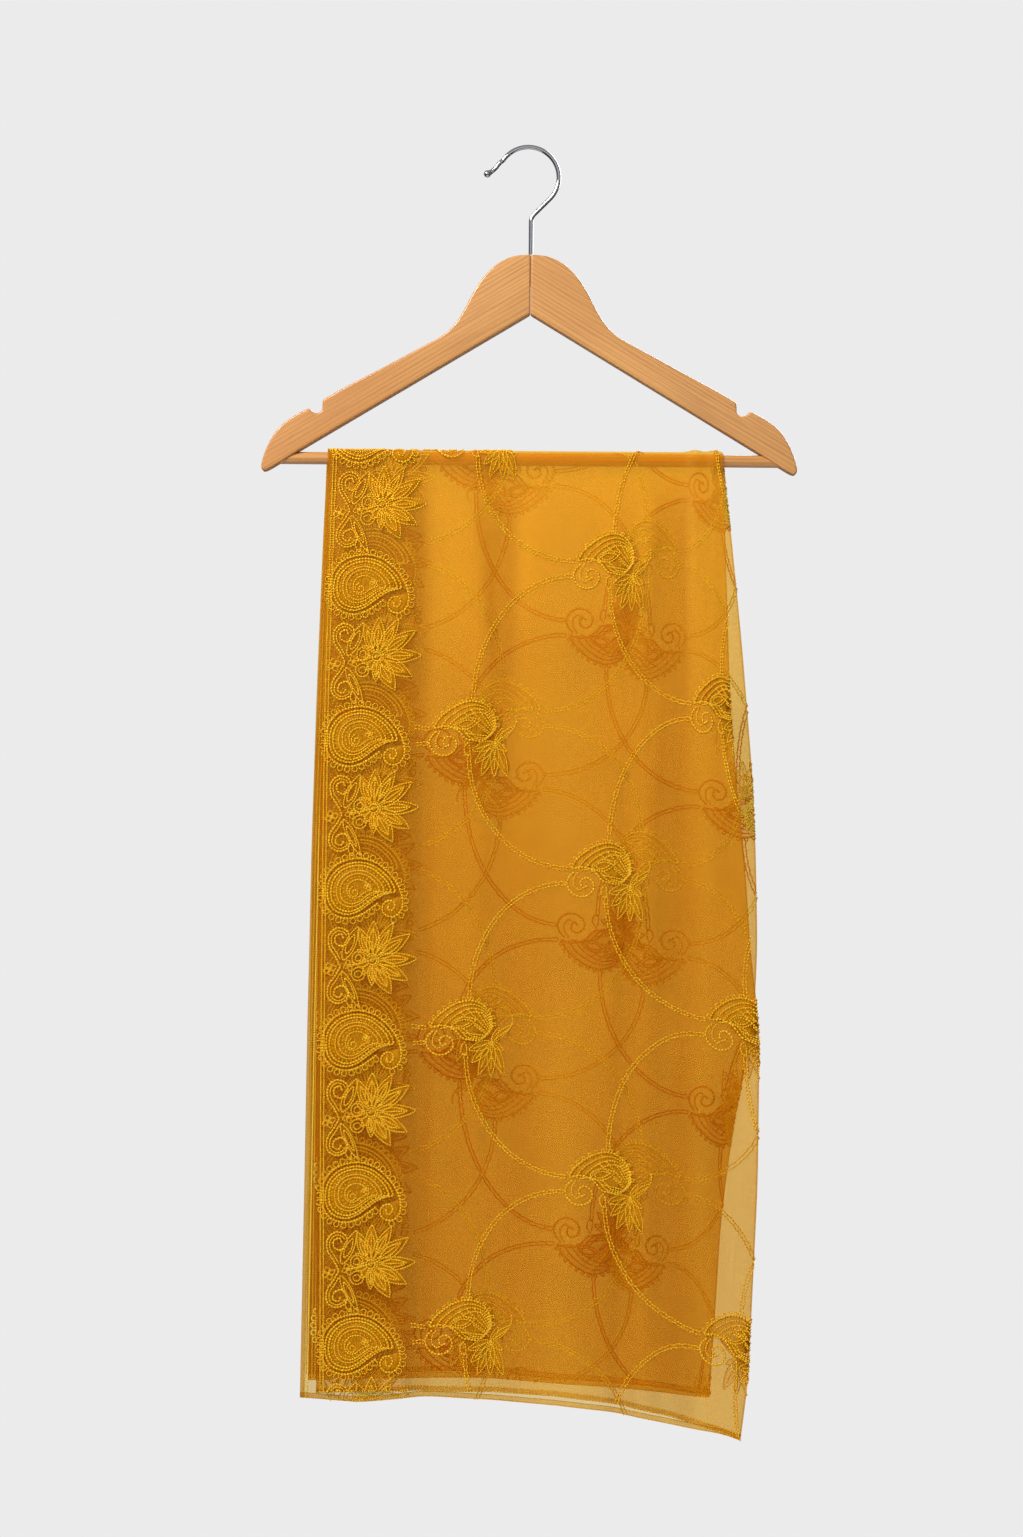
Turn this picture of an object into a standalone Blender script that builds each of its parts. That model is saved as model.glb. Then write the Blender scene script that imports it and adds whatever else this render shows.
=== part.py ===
"""Embroidered dupatta stole, folded lengthwise and draped over the bar of a wooden hanger.

Run with: blender --background --python part.py
World units are metres, +Z up; the dimensions below are in millimetres. The front faces -Y.
The origin is the top of the inside of the hook, where a rail carries the hanger.
"""

import math

import bmesh
import bpy
import numpy as np
from mathutils import Vector

MM = 0.001
GAP = 0.3  # clearance between neighbouring pieces

# Hanger
HANGER_AXIS_X = 2.5
ARM_THICKNESS = 13.0
ARM_EDGE_ROUND = 1.6
NOTCH_OUT = 174.6
NOTCH_Z = -213.7
NOTCH_RADIUS = 5.0
BAR_RADIUS = 5.0
BAR_Z = -255.0
BAR_END_OUT = 206.5

# The arm's outline: distance out from the hanger's axis, height. The crown runs down to the strap notch,
# the shoulder end runs round from the notch to the underside.
ARM_CROWN = (
    (0.15, -87.4),
    (14.0, -89.0),
    (27.0, -95.0),
    (38.0, -105.3),
    (47.0, -119.0),
    (55.0, -134.3),
    (63.0, -146.2),
    (73.0, -155.0),
    (87.0, -162.8),
    (118.0, -179.6),
    (150.0, -196.6),
    (169.4, -207.6),
)
ARM_END = (
    (180.6, -214.6),
    (192.1, -220.5),
    (202.5, -228.0),
    (210.3, -237.6),
    (216.2, -249.8),
    (219.2, -260.0),
    (219.0, -264.6),
    (216.4, -265.9),
    (209.0, -262.2),
    (188.8, -249.4),
)
ARM_CROTCH = (0.15, -136.0)

# Hook
WIRE_RADIUS = 1.8
HOOK_RADIUS = 25.0  # of the wire's centre line
HOOK_ARC_START = 146.0  # degrees, where the ring leaves the flared tip
HOOK_ARC_END = -45.0  # degrees, where it turns into the neck
HOOK_ARC_STEP = 9.0
NECK_RADIUS = 9.0
STEM_BOTTOM_Z = -112.0
BALL_RADIUS = 2.9
BALL_CENTRE = (-33.6, -20.5)
HOOK_TIP = ((-29.8, -18.4), (-26.6, -15.4), (-23.9, -11.9))

# Stole: thin cloth is drawn as a wall, with the inner layer nearest the bar
WALL = 1.0
HEM_WALL = 1.8
HEM_HEIGHT = 5.0
INNER_RADIUS = BAR_RADIUS + GAP + WALL / 2
LAYER_PITCH = 1.6
OUTER_RADIUS = INNER_RADIUS + LAYER_PITCH
OUTER_SPREAD = 3.4  # how far the outer layer moves away from the bar below it
INNER_SPREAD = 1.8
INNER_FOLD_SHARE = 0.5  # the inner layer follows the outer one's folds this much
SPREAD_DROP = 70.0
OUTER_COLUMNS = 20
INNER_COLUMNS = 10
ROLL_STEPS = 4
FALL_ROWS = 14
TURN_STEPS = 8

# Edges of the cloth: distance below the bar's axis, left edge of the outer and of the inner layer, right fold
FRONT_EDGES = (
    (0.0, -161.0, -162.6, 163.0),
    (60.0, -162.5, -165.5, 164.5),
    (195.0, -166.0, -170.0, 170.0),
    (262.0, -166.5, -171.7, 176.0),
    (320.0, -166.8, -173.2, 183.0),
    (400.0, -167.0, -174.3, 189.0),
    (465.0, -167.2, -175.5, 197.4),
    (590.0, -166.8, -176.8, 196.7),
    (755.0, -165.8, -179.0, 189.8),
    (803.0, -165.5, -179.6, 183.5),
)
BACK_EDGES = (
    (0.0, -164.3, -163.4, 165.0),
    (145.0, -169.0, -167.5, 180.9),
    (262.0, -172.5, -170.5, 191.7),
    (320.0, -173.6, -171.2, 194.6),
    (400.0, -174.3, -172.0, 196.9),
    (465.0, -174.7, -172.6, 194.0),
    (545.0, -175.0, -173.0, 178.0),
    (620.0, -175.2, -173.4, 168.0),
    (772.0, -175.6, -174.0, 159.0),
)
# Hem: x, distance below the bar's axis of the front outer, front inner, back outer and back inner layers
HEMS = (
    (-180.0, 765.5, 769.2, 755.2, 759.0),
    (-130.0, 763.4, 772.9, 753.0, 757.5),
    (-73.0, 762.9, 767.5, 751.7, 756.0),
    (-20.0, 763.4, 770.4, 752.2, 756.5),
    (30.0, 765.6, 774.0, 756.5, 760.0),
    (74.0, 771.3, 779.0, 759.5, 763.0),
    (126.0, 783.0, 789.6, 764.5, 767.5),
    (166.0, 794.8, 796.5, 770.5, 771.5),
    (184.0, 802.5, 802.5, 772.5, 772.5),
)
# Soft vertical folds: x, half width, height just below the bar, height at the hem
FRONT_FOLDS = (
    (-88.0, 14.0, -1.2, -2.0),
    (-20.0, 22.0, -3.0, -0.6),
    (38.0, 28.0, 1.5, 2.8),
    (116.0, 20.0, -2.6, -2.4),
    (150.0, 13.0, 2.6, 1.2),
)
BACK_FOLDS = (
    (-92.0, 16.0, -1.0, -2.4),
    (-36.0, 30.0, 1.4, 2.8),
    (30.0, 22.0, -2.8, -1.2),
    (92.0, 28.0, 1.2, 2.4),
    (138.0, 16.0, -1.8, -2.6),
)
# Pleat where the cloth is gathered at the bar's right end: x, half width, height
PLEAT = (
    (139.0, 6.0, 2.0),
    (154.0, 5.0, 1.7),
)
PLEAT_DROP = 230.0  # the pleat opens out this far below the bar

# Raised embroidery, its places given as x and distance below the bar's axis. The pattern runs on over the
# bar, so it is upside down behind.
MOTIF_WALL = 0.8
MOTIF_GAP = 0.6
BORDER_X = -127.0
BORDER_REPEAT = 124.0
BORDER_STARTS = {
    # first flower, how many, first paisley, how many
    "front": (33.0, 6, 106.0, 6),
    "back": (67.0, 6, 118.0, 5),
}
FIELD_PLACES = {
    # each column's x, then its places below the bar
    "front": ((-27.0, (229.0, 473.0, 716.0)), (87.0, (90.0, 348.0, 594.0))),
    "back": ((-27.0, (243.0, 491.0)), (87.0, (133.0, 381.0, 629.0))),
}

# Paisley: stations of its spine, from the round end to the hooked tip
PAISLEY_SPINE = (
    # right and up from the motif's centre, half width
    (-31.0, -1.0, 7.0),
    (-28.0, 0.0, 13.5),
    (-20.0, 1.0, 20.0),
    (-9.0, 2.0, 23.0),
    (3.0, 3.0, 20.5),
    (14.0, 3.0, 14.5),
    (22.0, 0.5, 9.5),
    (27.0, -5.0, 6.0),
    (27.5, -11.0, 3.5),
)
FLOWER_PETALS = 7
FLOWER_RADIUS = 26.0
FLOWER_DIP = 0.72  # radius between petals, as a share
CLUSTER_MIDDLE = -12.0  # the cluster's middle lies this far right of its place
# Field cluster: direction in degrees, reach of the outline
CLUSTER_LOBES = (
    (0.0, 18.0),
    (30.0, 24.0),
    (60.0, 28.0),
    (90.0, 31.0),
    (120.0, 31.0),
    (150.0, 33.0),
    (180.0, 34.0),
    (200.0, 32.0),
    (220.0, 27.0),
    (245.0, 13.0),
    (270.0, 15.0),
    (288.0, 32.0),
    (309.0, 36.0),
    (335.0, 20.0),
)


def clear_scene():
    for old in list(bpy.data.objects):
        bpy.data.objects.remove(old)


def new_collection(name, hidden=False):
    collection = bpy.data.collections.new(name)
    collection.hide_render = hidden
    bpy.context.scene.collection.children.link(collection)
    return collection


def make_material(name, colour, roughness, metallic=0.0):
    material = bpy.data.materials.new(name)
    material.use_nodes = True
    shader = material.node_tree.nodes["Principled BSDF"]
    shader.inputs["Base Color"].default_value = (*colour, 1.0)
    shader.inputs["Roughness"].default_value = roughness
    shader.inputs["Metallic"].default_value = metallic
    return material


def make_mesh_object(name, points, faces, collection, material):
    """A mesh object from points in millimetres."""
    mesh = bpy.data.meshes.new(name)
    mesh.from_pydata([Vector(point) * MM for point in points], [], faces)
    mesh.materials.append(material)
    mesh.shade_smooth()
    obj = bpy.data.objects.new(name, mesh)
    collection.objects.link(obj)
    return obj


def smooth_through(points, steps):
    """Catmull-Rom curve through the points, with this many steps in each span."""
    ends = [points[0], *points, points[-1]]
    smooth = []
    for before, start, end, after in zip(ends, ends[1:], ends[2:], ends[3:]):
        for step in range(steps):
            t = step / steps
            smooth.append(
                tuple(
                    0.5 * (2 * b + (c - a) * t + (2 * a - 5 * b + 4 * c - d) * t**2)
                    + 0.5 * (3 * b - a - 3 * c + d) * t**3
                    for a, b, c, d in zip(before, start, end, after)
                )
            )
    smooth.append(tuple(points[-1]))
    return smooth


def arc(centre, radius, start, end, steps):
    """Points of an arc in the x-z plane, its angles in degrees."""
    angles = [math.radians(start + (end - start) * step / steps) for step in range(steps + 1)]
    return [(centre[0] + radius * math.cos(a), centre[1] + radius * math.sin(a)) for a in angles]


def curve_to_mesh(curve, name, collection):
    """Replaces a curve object by a mesh object whose caps are welded on."""
    graph = bpy.context.evaluated_depsgraph_get()
    mesh = bpy.data.meshes.new_from_object(curve.evaluated_get(graph))
    mesh.name = name
    work = bmesh.new()
    work.from_mesh(mesh)
    bmesh.ops.remove_doubles(work, verts=work.verts, dist=0.00001)
    work.to_mesh(mesh)
    work.free()
    obj = bpy.data.objects.new(name, mesh)
    obj.matrix_world = curve.matrix_world.copy()
    collection.objects.link(obj)
    bpy.data.objects.remove(curve)
    return obj


def arm_outline():
    """One arm seen from the front, as distance out from the hanger's axis and height."""
    crown = smooth_through(ARM_CROWN, 2)
    notch = arc((NOTCH_OUT, NOTCH_Z), NOTCH_RADIUS, 168.0, 332.0, 8)
    end = smooth_through(ARM_END, 2)
    return [*crown, *notch, *end, ARM_CROTCH]


def build_arm(name, side, collection, cutters, material):
    """One arm of the hanger: side is -1 for the left one, +1 for the right one."""
    curve = bpy.data.curves.new(name, "CURVE")
    curve.dimensions = "2D"
    curve.fill_mode = "BOTH"
    curve.extrude = ARM_THICKNESS / 2 * MM
    outline = arm_outline()
    spline = curve.splines.new("POLY")
    spline.points.add(len(outline) - 1)
    spline.use_cyclic_u = True
    for point, (out, z) in zip(spline.points, outline):
        point.co = ((HANGER_AXIS_X + side * out) * MM, z * MM, 0.0, 1.0)
    drawn = bpy.data.objects.new(name + "_outline", curve)
    drawn.rotation_euler = (math.radians(90.0), 0.0, 0.0)
    collection.objects.link(drawn)
    bpy.context.view_layer.update()
    arm = curve_to_mesh(drawn, name, collection)
    arm.data.materials.clear()
    arm.data.materials.append(material)
    rounding = arm.modifiers.new("Rounded edges", "BEVEL")
    rounding.width = ARM_EDGE_ROUND * MM
    rounding.segments = 2
    rounding.limit_method = "ANGLE"
    rounding.angle_limit = math.radians(50.0)
    for cutter in cutters:
        cut = arm.modifiers.new(cutter.name, "BOOLEAN")
        cut.object = cutter
        cut.operation = "DIFFERENCE"
        cut.solver = "EXACT"
    return arm


def build_rod(name, radius, length, centre, along_x, sides, collection, material=None):
    """A round rod: the trouser bar, or a cutter for a bore."""
    bpy.ops.mesh.primitive_cylinder_add(vertices=sides, radius=radius * MM, depth=length * MM)
    rod = bpy.context.object
    rod.name = name
    rod.data.name = name
    rod.location = Vector(centre) * MM
    if along_x:
        rod.rotation_euler = (0.0, math.radians(90.0), 0.0)
    for owner in list(rod.users_collection):
        owner.objects.unlink(rod)
    collection.objects.link(rod)
    if material:
        rod.data.materials.append(material)
        rod.data.shade_smooth()
        rod.data.set_sharp_from_angle(angle=math.radians(40.0))
    else:
        rod.hide_render = True
        rod.display_type = "WIRE"
    return rod


def ball_stations():
    """The round end of the wire as stations of its own tube: x, z and radius."""
    start = Vector(BALL_CENTRE)
    direction = (Vector(HOOK_TIP[0]) - start).normalized()
    stations = []
    for share in (-0.98, -0.82, -0.48, 0.0, 0.48, 0.74):
        place = start + direction * BALL_RADIUS * share
        stations.append((*place, BALL_RADIUS * math.sqrt(1 - share**2)))
    return stations


def hook_stations():
    """The wire from its ball end round the hook and down into the wood: x, z and radius."""
    centre = (0.0, WIRE_RADIUS - HOOK_RADIUS)
    steps = round((HOOK_ARC_START - HOOK_ARC_END) / HOOK_ARC_STEP)
    ring = arc(centre, HOOK_RADIUS, HOOK_ARC_START, HOOK_ARC_END, steps)
    tip = smooth_through([*HOOK_TIP, ring[0]], 2)[:-1]
    slope_x, slope_z = ring[-1]
    corner_z = slope_z - (slope_x - HANGER_AXIS_X)
    tangent = NECK_RADIUS * math.tan(math.radians(22.5))
    neck = arc((HANGER_AXIS_X + NECK_RADIUS, corner_z - tangent), NECK_RADIUS, 135.0, 180.0, 3)
    route = [*tip, *ring, *neck, (HANGER_AXIS_X, STEM_BOTTOM_Z)]
    return ball_stations() + [(x, z, WIRE_RADIUS) for x, z in route]


def build_hook(collection, material):
    curve = bpy.data.curves.new("hanger_hook", "CURVE")
    curve.dimensions = "3D"
    curve.bevel_depth = WIRE_RADIUS * MM
    curve.bevel_resolution = 2
    curve.use_fill_caps = True
    stations = hook_stations()
    spline = curve.splines.new("POLY")
    spline.points.add(len(stations) - 1)
    for point, (x, z, radius) in zip(spline.points, stations):
        point.co = (x * MM, 0.0, z * MM, 1.0)
        point.radius = radius / WIRE_RADIUS
    curve.materials.append(material)
    hook = bpy.data.objects.new("hanger_hook", curve)
    collection.objects.link(hook)
    return hook


def column_at(table, column, place):
    """A table's column, read between its rows; the first column says where."""
    rows = np.array(table)
    return float(np.interp(place, rows[:, 0], rows[:, column]))


def ramp(share):
    share = min(max(share, 0.0), 1.0)
    return share * share * (3 - 2 * share)


def pleat_height(x, drop):
    """The pleat at the bar's right end, which opens out below."""
    fade = 1 - ramp(drop / PLEAT_DROP)
    return fade * sum(h * math.exp(-(((x - c) / w) ** 2)) for c, w, h in PLEAT)


def fold_height(folds, x, drop):
    """The soft vertical folds, none on the bar itself."""
    total = 0.0
    for centre, width, top, bottom in folds:
        height = top + (bottom - top) * drop / HEMS[0][1]
        total += height * math.exp(-(((x - centre) / width) ** 2))
    return total * ramp(drop / SPREAD_DROP)


class Fall:
    """The doubled cloth that hangs on one side of the bar: side is -1 in front, +1 behind."""

    def __init__(self, side, edges, folds, outer_hem, inner_hem):
        self.side = side
        self.edges = edges
        self.folds = folds
        self.outer_hem = outer_hem
        self.inner_hem = inner_hem

    def outer_depth(self, x, drop):
        spread = OUTER_SPREAD * ramp(drop / SPREAD_DROP)
        return OUTER_RADIUS + spread + fold_height(self.folds, x, drop) + pleat_height(x, drop)

    def inner_depth(self, x, drop):
        spread = INNER_SPREAD * ramp(drop / SPREAD_DROP)
        return INNER_RADIUS + spread + INNER_FOLD_SHARE * fold_height(self.folds, x, drop)

    def roll_radius(self, drop):
        """Half the distance between the layers at the right fold."""
        x = column_at(self.edges, 3, drop)
        return (self.outer_depth(x, drop) - self.inner_depth(x, drop)) / 2

    def point(self, outer, across, down):
        """A point of one layer's middle surface: across from the left edge, down from the bar to the hem."""
        hem = self.outer_hem if outer else self.inner_hem
        left = 1 if outer else 2
        x = 0.0
        for _ in range(4):
            drop = GAP + down * (column_at(HEMS, hem, x) - GAP)
            right_x = column_at(self.edges, 3, drop) - self.roll_radius(drop)
            left_x = column_at(self.edges, left, drop)
            x = left_x + across * (right_x - left_x)
        depth = self.outer_depth(x, drop) if outer else self.inner_depth(x, drop)
        return Vector((x, self.side * depth, BAR_Z - drop))


FRONT = Fall(-1, FRONT_EDGES, FRONT_FOLDS, 1, 2)
BACK = Fall(1, BACK_EDGES, BACK_FOLDS, 3, 4)


def hairpin(outer_at, inner_at):
    """One section of the doubled cloth: outer layer, rolled fold on the right, inner layer."""
    outer = [outer_at(step / OUTER_COLUMNS) for step in range(OUTER_COLUMNS + 1)]
    inner = [inner_at(1 - step / INNER_COLUMNS) for step in range(INNER_COLUMNS + 1)]
    middle = (outer[-1] + inner[0]) / 2
    reach = outer[-1] - middle
    roll = []
    for step in range(1, ROLL_STEPS):
        angle = math.pi * step / ROLL_STEPS
        bulge = Vector((reach.length * math.sin(angle), 0.0, 0.0))
        roll.append(middle + reach * math.cos(angle) + bulge)
    return [*outer, *roll, *inner]


def fall_rows():
    """How far down each row of a fall lies, closer together below the bar; the last two are the hem's."""
    hem_share = 1 - HEM_HEIGHT / HEMS[0][1]
    rows = [hem_share * (row / FALL_ROWS) ** 1.35 for row in range(FALL_ROWS + 1)]
    return [*rows, hem_share + 0.2 * (1 - hem_share), 1.0]


def fall_sections(fall):
    return [
        hairpin(
            lambda across, down=down: fall.point(True, across, down),
            lambda across, down=down: fall.point(False, across, down),
        )
        for down in fall_rows()
    ]


def turn_point(outer, across, share):
    """A point of the cloth over the bar: share runs from the front, over the top, to the back."""
    angle = math.pi * share
    left = 1 if outer else 2
    ends = []
    for fall in (FRONT, BACK):
        right_x = column_at(fall.edges, 3, 0.0) - LAYER_PITCH / 2
        left_x = column_at(fall.edges, left, 0.0)
        ends.append(left_x + across * (right_x - left_x))
    x = ends[0] + (ends[1] - ends[0]) * share
    radius = OUTER_RADIUS + pleat_height(x, 0.0) if outer else INNER_RADIUS
    return Vector((x, -radius * math.cos(angle), BAR_Z + radius * math.sin(angle)))


def turn_sections():
    return [
        hairpin(
            lambda across, share=share: turn_point(True, across, share),
            lambda across, share=share: turn_point(False, across, share),
        )
        for share in (step / TURN_STEPS for step in range(TURN_STEPS + 1))
    ]


def sheet_faces(rows, columns):
    """The four-sided faces of a grid of points."""
    corners = [row * columns + column for row in range(rows - 1) for column in range(columns - 1)]
    return [(first, first + 1, first + columns + 1, first + columns) for first in corners]


def build_cloth(name, sections, thick_rows, collection, material):
    """A wall through the sections, thicker along the hem's rows."""
    points = [point for section in sections for point in section]
    columns = len(sections[0])
    cloth = make_mesh_object(name, points, sheet_faces(len(sections), columns), collection, material)
    hem = cloth.vertex_groups.new(name="hem")
    first_thick = (len(sections) - thick_rows) * columns
    hem.add(list(range(first_thick, len(points))), 1.0, "REPLACE")
    wall = cloth.modifiers.new("Wall", "SOLIDIFY")
    wall.offset = 0.0
    wall.thickness = (HEM_WALL if thick_rows else WALL) * MM
    if thick_rows:
        wall.vertex_group = "hem"
        wall.thickness_vertex_group = WALL / HEM_WALL
    return cloth


class Panel:
    """The outer face of a fall, on which the raised embroidery lies."""

    def __init__(self, fall, sections):
        self.fall = fall
        self.grid = [section[: OUTER_COLUMNS + 1] for section in sections]
        self.rows = fall_rows()

    def point(self, x, drop):
        """The place and outward direction on the wall's own faces, near x and this far below the bar."""
        left_x = column_at(self.fall.edges, 1, drop)
        right_x = column_at(self.fall.edges, 3, drop)
        down = drop / column_at(HEMS, self.fall.outer_hem, x)
        across = (x - left_x) / (right_x - left_x) * OUTER_COLUMNS
        column = min(max(int(across), 0), OUTER_COLUMNS - 1)
        row_at = float(np.interp(down, self.rows, range(len(self.rows))))
        row = min(int(row_at), len(self.rows) - 2)
        s = across - column
        t = row_at - row
        a, b = self.grid[row][column], self.grid[row][column + 1]
        c, d = self.grid[row + 1][column], self.grid[row + 1][column + 1]
        place = (a * (1 - s) + b * s) * (1 - t) + (c * (1 - s) + d * s) * t
        right = (b - a) * (1 - t) + (d - c) * t
        descent = (c - a) * (1 - s) + (d - b) * s
        normal = descent.cross(right).normalized()
        if normal.y * self.fall.side < 0:
            normal.negate()
        return place, normal


def build_motif(name, panel, centre, flat_points, faces, collection, material):
    """A raised pad made from the panel's points, moved out: flat_points are right and up from the centre."""
    points = []
    for right, up in flat_points:
        place, normal = panel.point(centre[0] + right, centre[1] + panel.fall.side * up)
        points.append(place + normal * (WALL / 2 + MOTIF_GAP + MOTIF_WALL / 2))
    pad = make_mesh_object(name, points, faces, collection, material)
    wall = pad.modifiers.new("Wall", "SOLIDIFY")
    wall.offset = 0.0
    wall.thickness = MOTIF_WALL * MM
    return pad


def paisley_sheet():
    """A bent drop: three points at each station of its spine, and the strips between them."""
    points = []
    for index, (right, up, half) in enumerate(PAISLEY_SPINE):
        before = PAISLEY_SPINE[max(index - 1, 0)]
        after = PAISLEY_SPINE[min(index + 1, len(PAISLEY_SPINE) - 1)]
        along = Vector((after[0] - before[0], after[1] - before[1])).normalized()
        across = Vector((-along.y, along.x)) * half
        points += [(right + across.x, up + across.y), (right, up), (right - across.x, up - across.y)]
    return points, sheet_faces(len(PAISLEY_SPINE), 3)


def lobed_sheet(rim, rings):
    """A flat shape drawn round a middle point: the rim, this many rings inside it, and the middle."""
    count = len(rim)
    points = []
    for ring in range(rings + 1):
        share = 1 - ring / (rings + 1)
        points += [(right * share, up * share) for right, up in rim]
    faces = []
    for index in range(count):
        following = (index + 1) % count
        for ring in range(rings):
            start, inner = ring * count, (ring + 1) * count
            faces.append((start + index, start + following, inner + following, inner + index))
        faces.append((rings * count + index, rings * count + following, len(points)))
    return [*points, (0.0, 0.0)], faces


def flower_rim():
    """An opened flower whose petals meet in shallow dips."""
    rim = []
    for petal in range(FLOWER_PETALS):
        for part, reach in ((0.0, FLOWER_DIP), (0.32, 0.96), (0.68, 0.96)):
            angle = 2 * math.pi * (petal + part) / FLOWER_PETALS
            radius = FLOWER_RADIUS * reach
            rim.append((radius * math.cos(angle), radius * math.sin(angle)))
    return rim


def cluster_rim():
    """A domed paisley with a scroll at its lower left and a hanging leaf, as one outline."""
    return [(r * math.cos(math.radians(a)), r * math.sin(math.radians(a))) for a, r in CLUSTER_LOBES]


def build_embroidery(face, panel, collection, material):
    """The raised motifs of one side: face is front or back."""
    paisley = paisley_sheet()
    flower = lobed_sheet(flower_rim(), 1)
    cluster = lobed_sheet(cluster_rim(), 2)
    first_flower, flowers, first_paisley, paisleys = BORDER_STARTS[face]
    for index in range(paisleys):
        name = f"{face}_border_paisley_{index + 1}"
        place = (BORDER_X, first_paisley + index * BORDER_REPEAT)
        build_motif(name, panel, place, *paisley, collection, material)
    for index in range(flowers):
        name = f"{face}_border_flower_{index + 1}"
        place = (BORDER_X, first_flower + index * BORDER_REPEAT)
        build_motif(name, panel, place, *flower, collection, material)
    for column, (x, drops) in enumerate(FIELD_PLACES[face]):
        for row, drop in enumerate(drops):
            name = f"{face}_field_cluster_{column + 1}_{row + 1}"
            place = (x + CLUSTER_MIDDLE, drop)
            build_motif(name, panel, place, *cluster, collection, material)


def build_hanger(parts, cutters):
    wood = make_material("light_wood", (0.74, 0.42, 0.17), 0.45)
    chrome = make_material("chrome_wire", (0.80, 0.80, 0.80), 0.12, metallic=1.0)
    stem_length = ARM_CROWN[0][1] - STEM_BOTTOM_Z + 20.0
    stem_centre = (HANGER_AXIS_X, 0.0, STEM_BOTTOM_Z - GAP + stem_length / 2)
    stem_bore = build_rod("Stem bore", WIRE_RADIUS + GAP + 0.1, stem_length, stem_centre, False, 16, cutters)
    socket_length = 2 * (BAR_END_OUT + GAP)
    bar_centre = (HANGER_AXIS_X, 0.0, BAR_Z)
    socket = build_rod("Bar socket", BAR_RADIUS + GAP, socket_length, bar_centre, True, 24, cutters)
    for name, side in (("hanger_arm_left", -1), ("hanger_arm_right", 1)):
        build_arm(name, side, parts, (stem_bore, socket), wood)
    build_rod("hanger_bar", BAR_RADIUS, 2 * BAR_END_OUT, bar_centre, True, 24, parts, wood)
    build_hook(parts, chrome)


def build_stole(parts):
    organza = make_material("mustard_organza", (0.62, 0.28, 0.03), 0.55)
    thread = make_material("golden_thread", (0.83, 0.40, 0.04), 0.40)
    build_cloth("stole_turn", turn_sections(), 0, parts, organza)
    for face, fall in (("front", FRONT), ("back", BACK)):
        sections = fall_sections(fall)
        build_cloth(f"stole_{face}_fall", sections, 2, parts, organza)
        build_embroidery(face, Panel(fall, sections), parts, thread)


def main():
    clear_scene()
    parts = new_collection("Dupatta stole on a wooden hanger")
    cutters = new_collection("Cutters", hidden=True)
    build_hanger(parts, cutters)
    build_stole(parts)


main()
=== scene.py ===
"""Looks of an embroidered dupatta stole, folded lengthwise and draped over the bar of a wooden hanger.

Lengths are in millimetres until a mesh is made, +Z up and the front towards -Y, in the solids' own frame.
A place on the cloth is p, across from the outer layer's free edge, round the fold and on to the inner
layer's free edge, and q, down the front from the top of the bar, negative behind it.
"""

import math
from collections import namedtuple

import bmesh
import bpy
import numpy as np
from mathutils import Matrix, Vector


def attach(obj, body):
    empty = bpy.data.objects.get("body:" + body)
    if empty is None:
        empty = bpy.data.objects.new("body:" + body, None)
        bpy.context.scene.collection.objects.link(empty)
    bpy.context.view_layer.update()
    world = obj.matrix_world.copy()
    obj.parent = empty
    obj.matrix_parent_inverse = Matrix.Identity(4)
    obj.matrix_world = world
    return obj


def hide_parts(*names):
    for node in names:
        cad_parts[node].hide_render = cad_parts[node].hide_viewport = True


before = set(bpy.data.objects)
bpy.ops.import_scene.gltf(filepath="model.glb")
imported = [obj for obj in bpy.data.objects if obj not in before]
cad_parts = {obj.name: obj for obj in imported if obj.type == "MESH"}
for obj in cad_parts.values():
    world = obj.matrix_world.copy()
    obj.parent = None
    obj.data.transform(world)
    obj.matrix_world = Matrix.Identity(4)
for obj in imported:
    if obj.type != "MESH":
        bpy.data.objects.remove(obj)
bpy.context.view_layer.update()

MM = 0.001
GAP = 0.3
SEED = 11

# Hanger
HANGER_AXIS_X = 2.5
ARM_THICKNESS = 13.0
ARM_EDGE_ROUND = 2.8
NOTCH_OUT = 174.6
NOTCH_Z = -213.7
NOTCH_RADIUS = 5.0
BAR_RADIUS = 5.0
BAR_Z = -255.0
BAR_END_OUT = 206.5
ARM_CROWN = (
    # distance out from the hanger's axis, height: over the top to the strap notch
    (0.15, -87.4), (14.0, -89.0), (27.0, -95.0), (38.0, -105.3), (47.0, -119.0), (55.0, -134.3),
    (63.0, -146.2), (73.0, -155.0), (87.0, -162.8), (118.0, -179.6), (150.0, -196.6),
    (169.4, -207.6),
)
ARM_END = (
    # from the notch round the shoulder end to the underside
    (180.6, -214.6), (192.1, -220.5), (202.5, -228.0), (210.3, -237.6), (216.2, -249.8),
    (219.2, -260.0), (219.0, -264.6), (216.4, -265.9), (209.0, -262.2), (188.8, -249.4),
)
ARM_CROTCH = (0.15, -136.0)
GRAIN_SLOPE = 31.0  # degrees, the arms' grain below the horizontal
GRAIN_SHIFT = 0.37  # metres, so that the two arms' grain differs

# Hook
WIRE_RADIUS = 1.8
HOOK_RADIUS = 25.0
HOOK_ARC_START = 146.0
HOOK_ARC_END = -45.0
NECK_RADIUS = 9.0
STEM_BOTTOM_Z = -112.0
BORE_LENGTH = 50.0
BALL_RADIUS = 2.9
BALL_CENTRE = (-33.6, -20.5)
HOOK_TIP = ((-29.8, -18.4), (-26.6, -15.4), (-23.9, -11.9))

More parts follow.
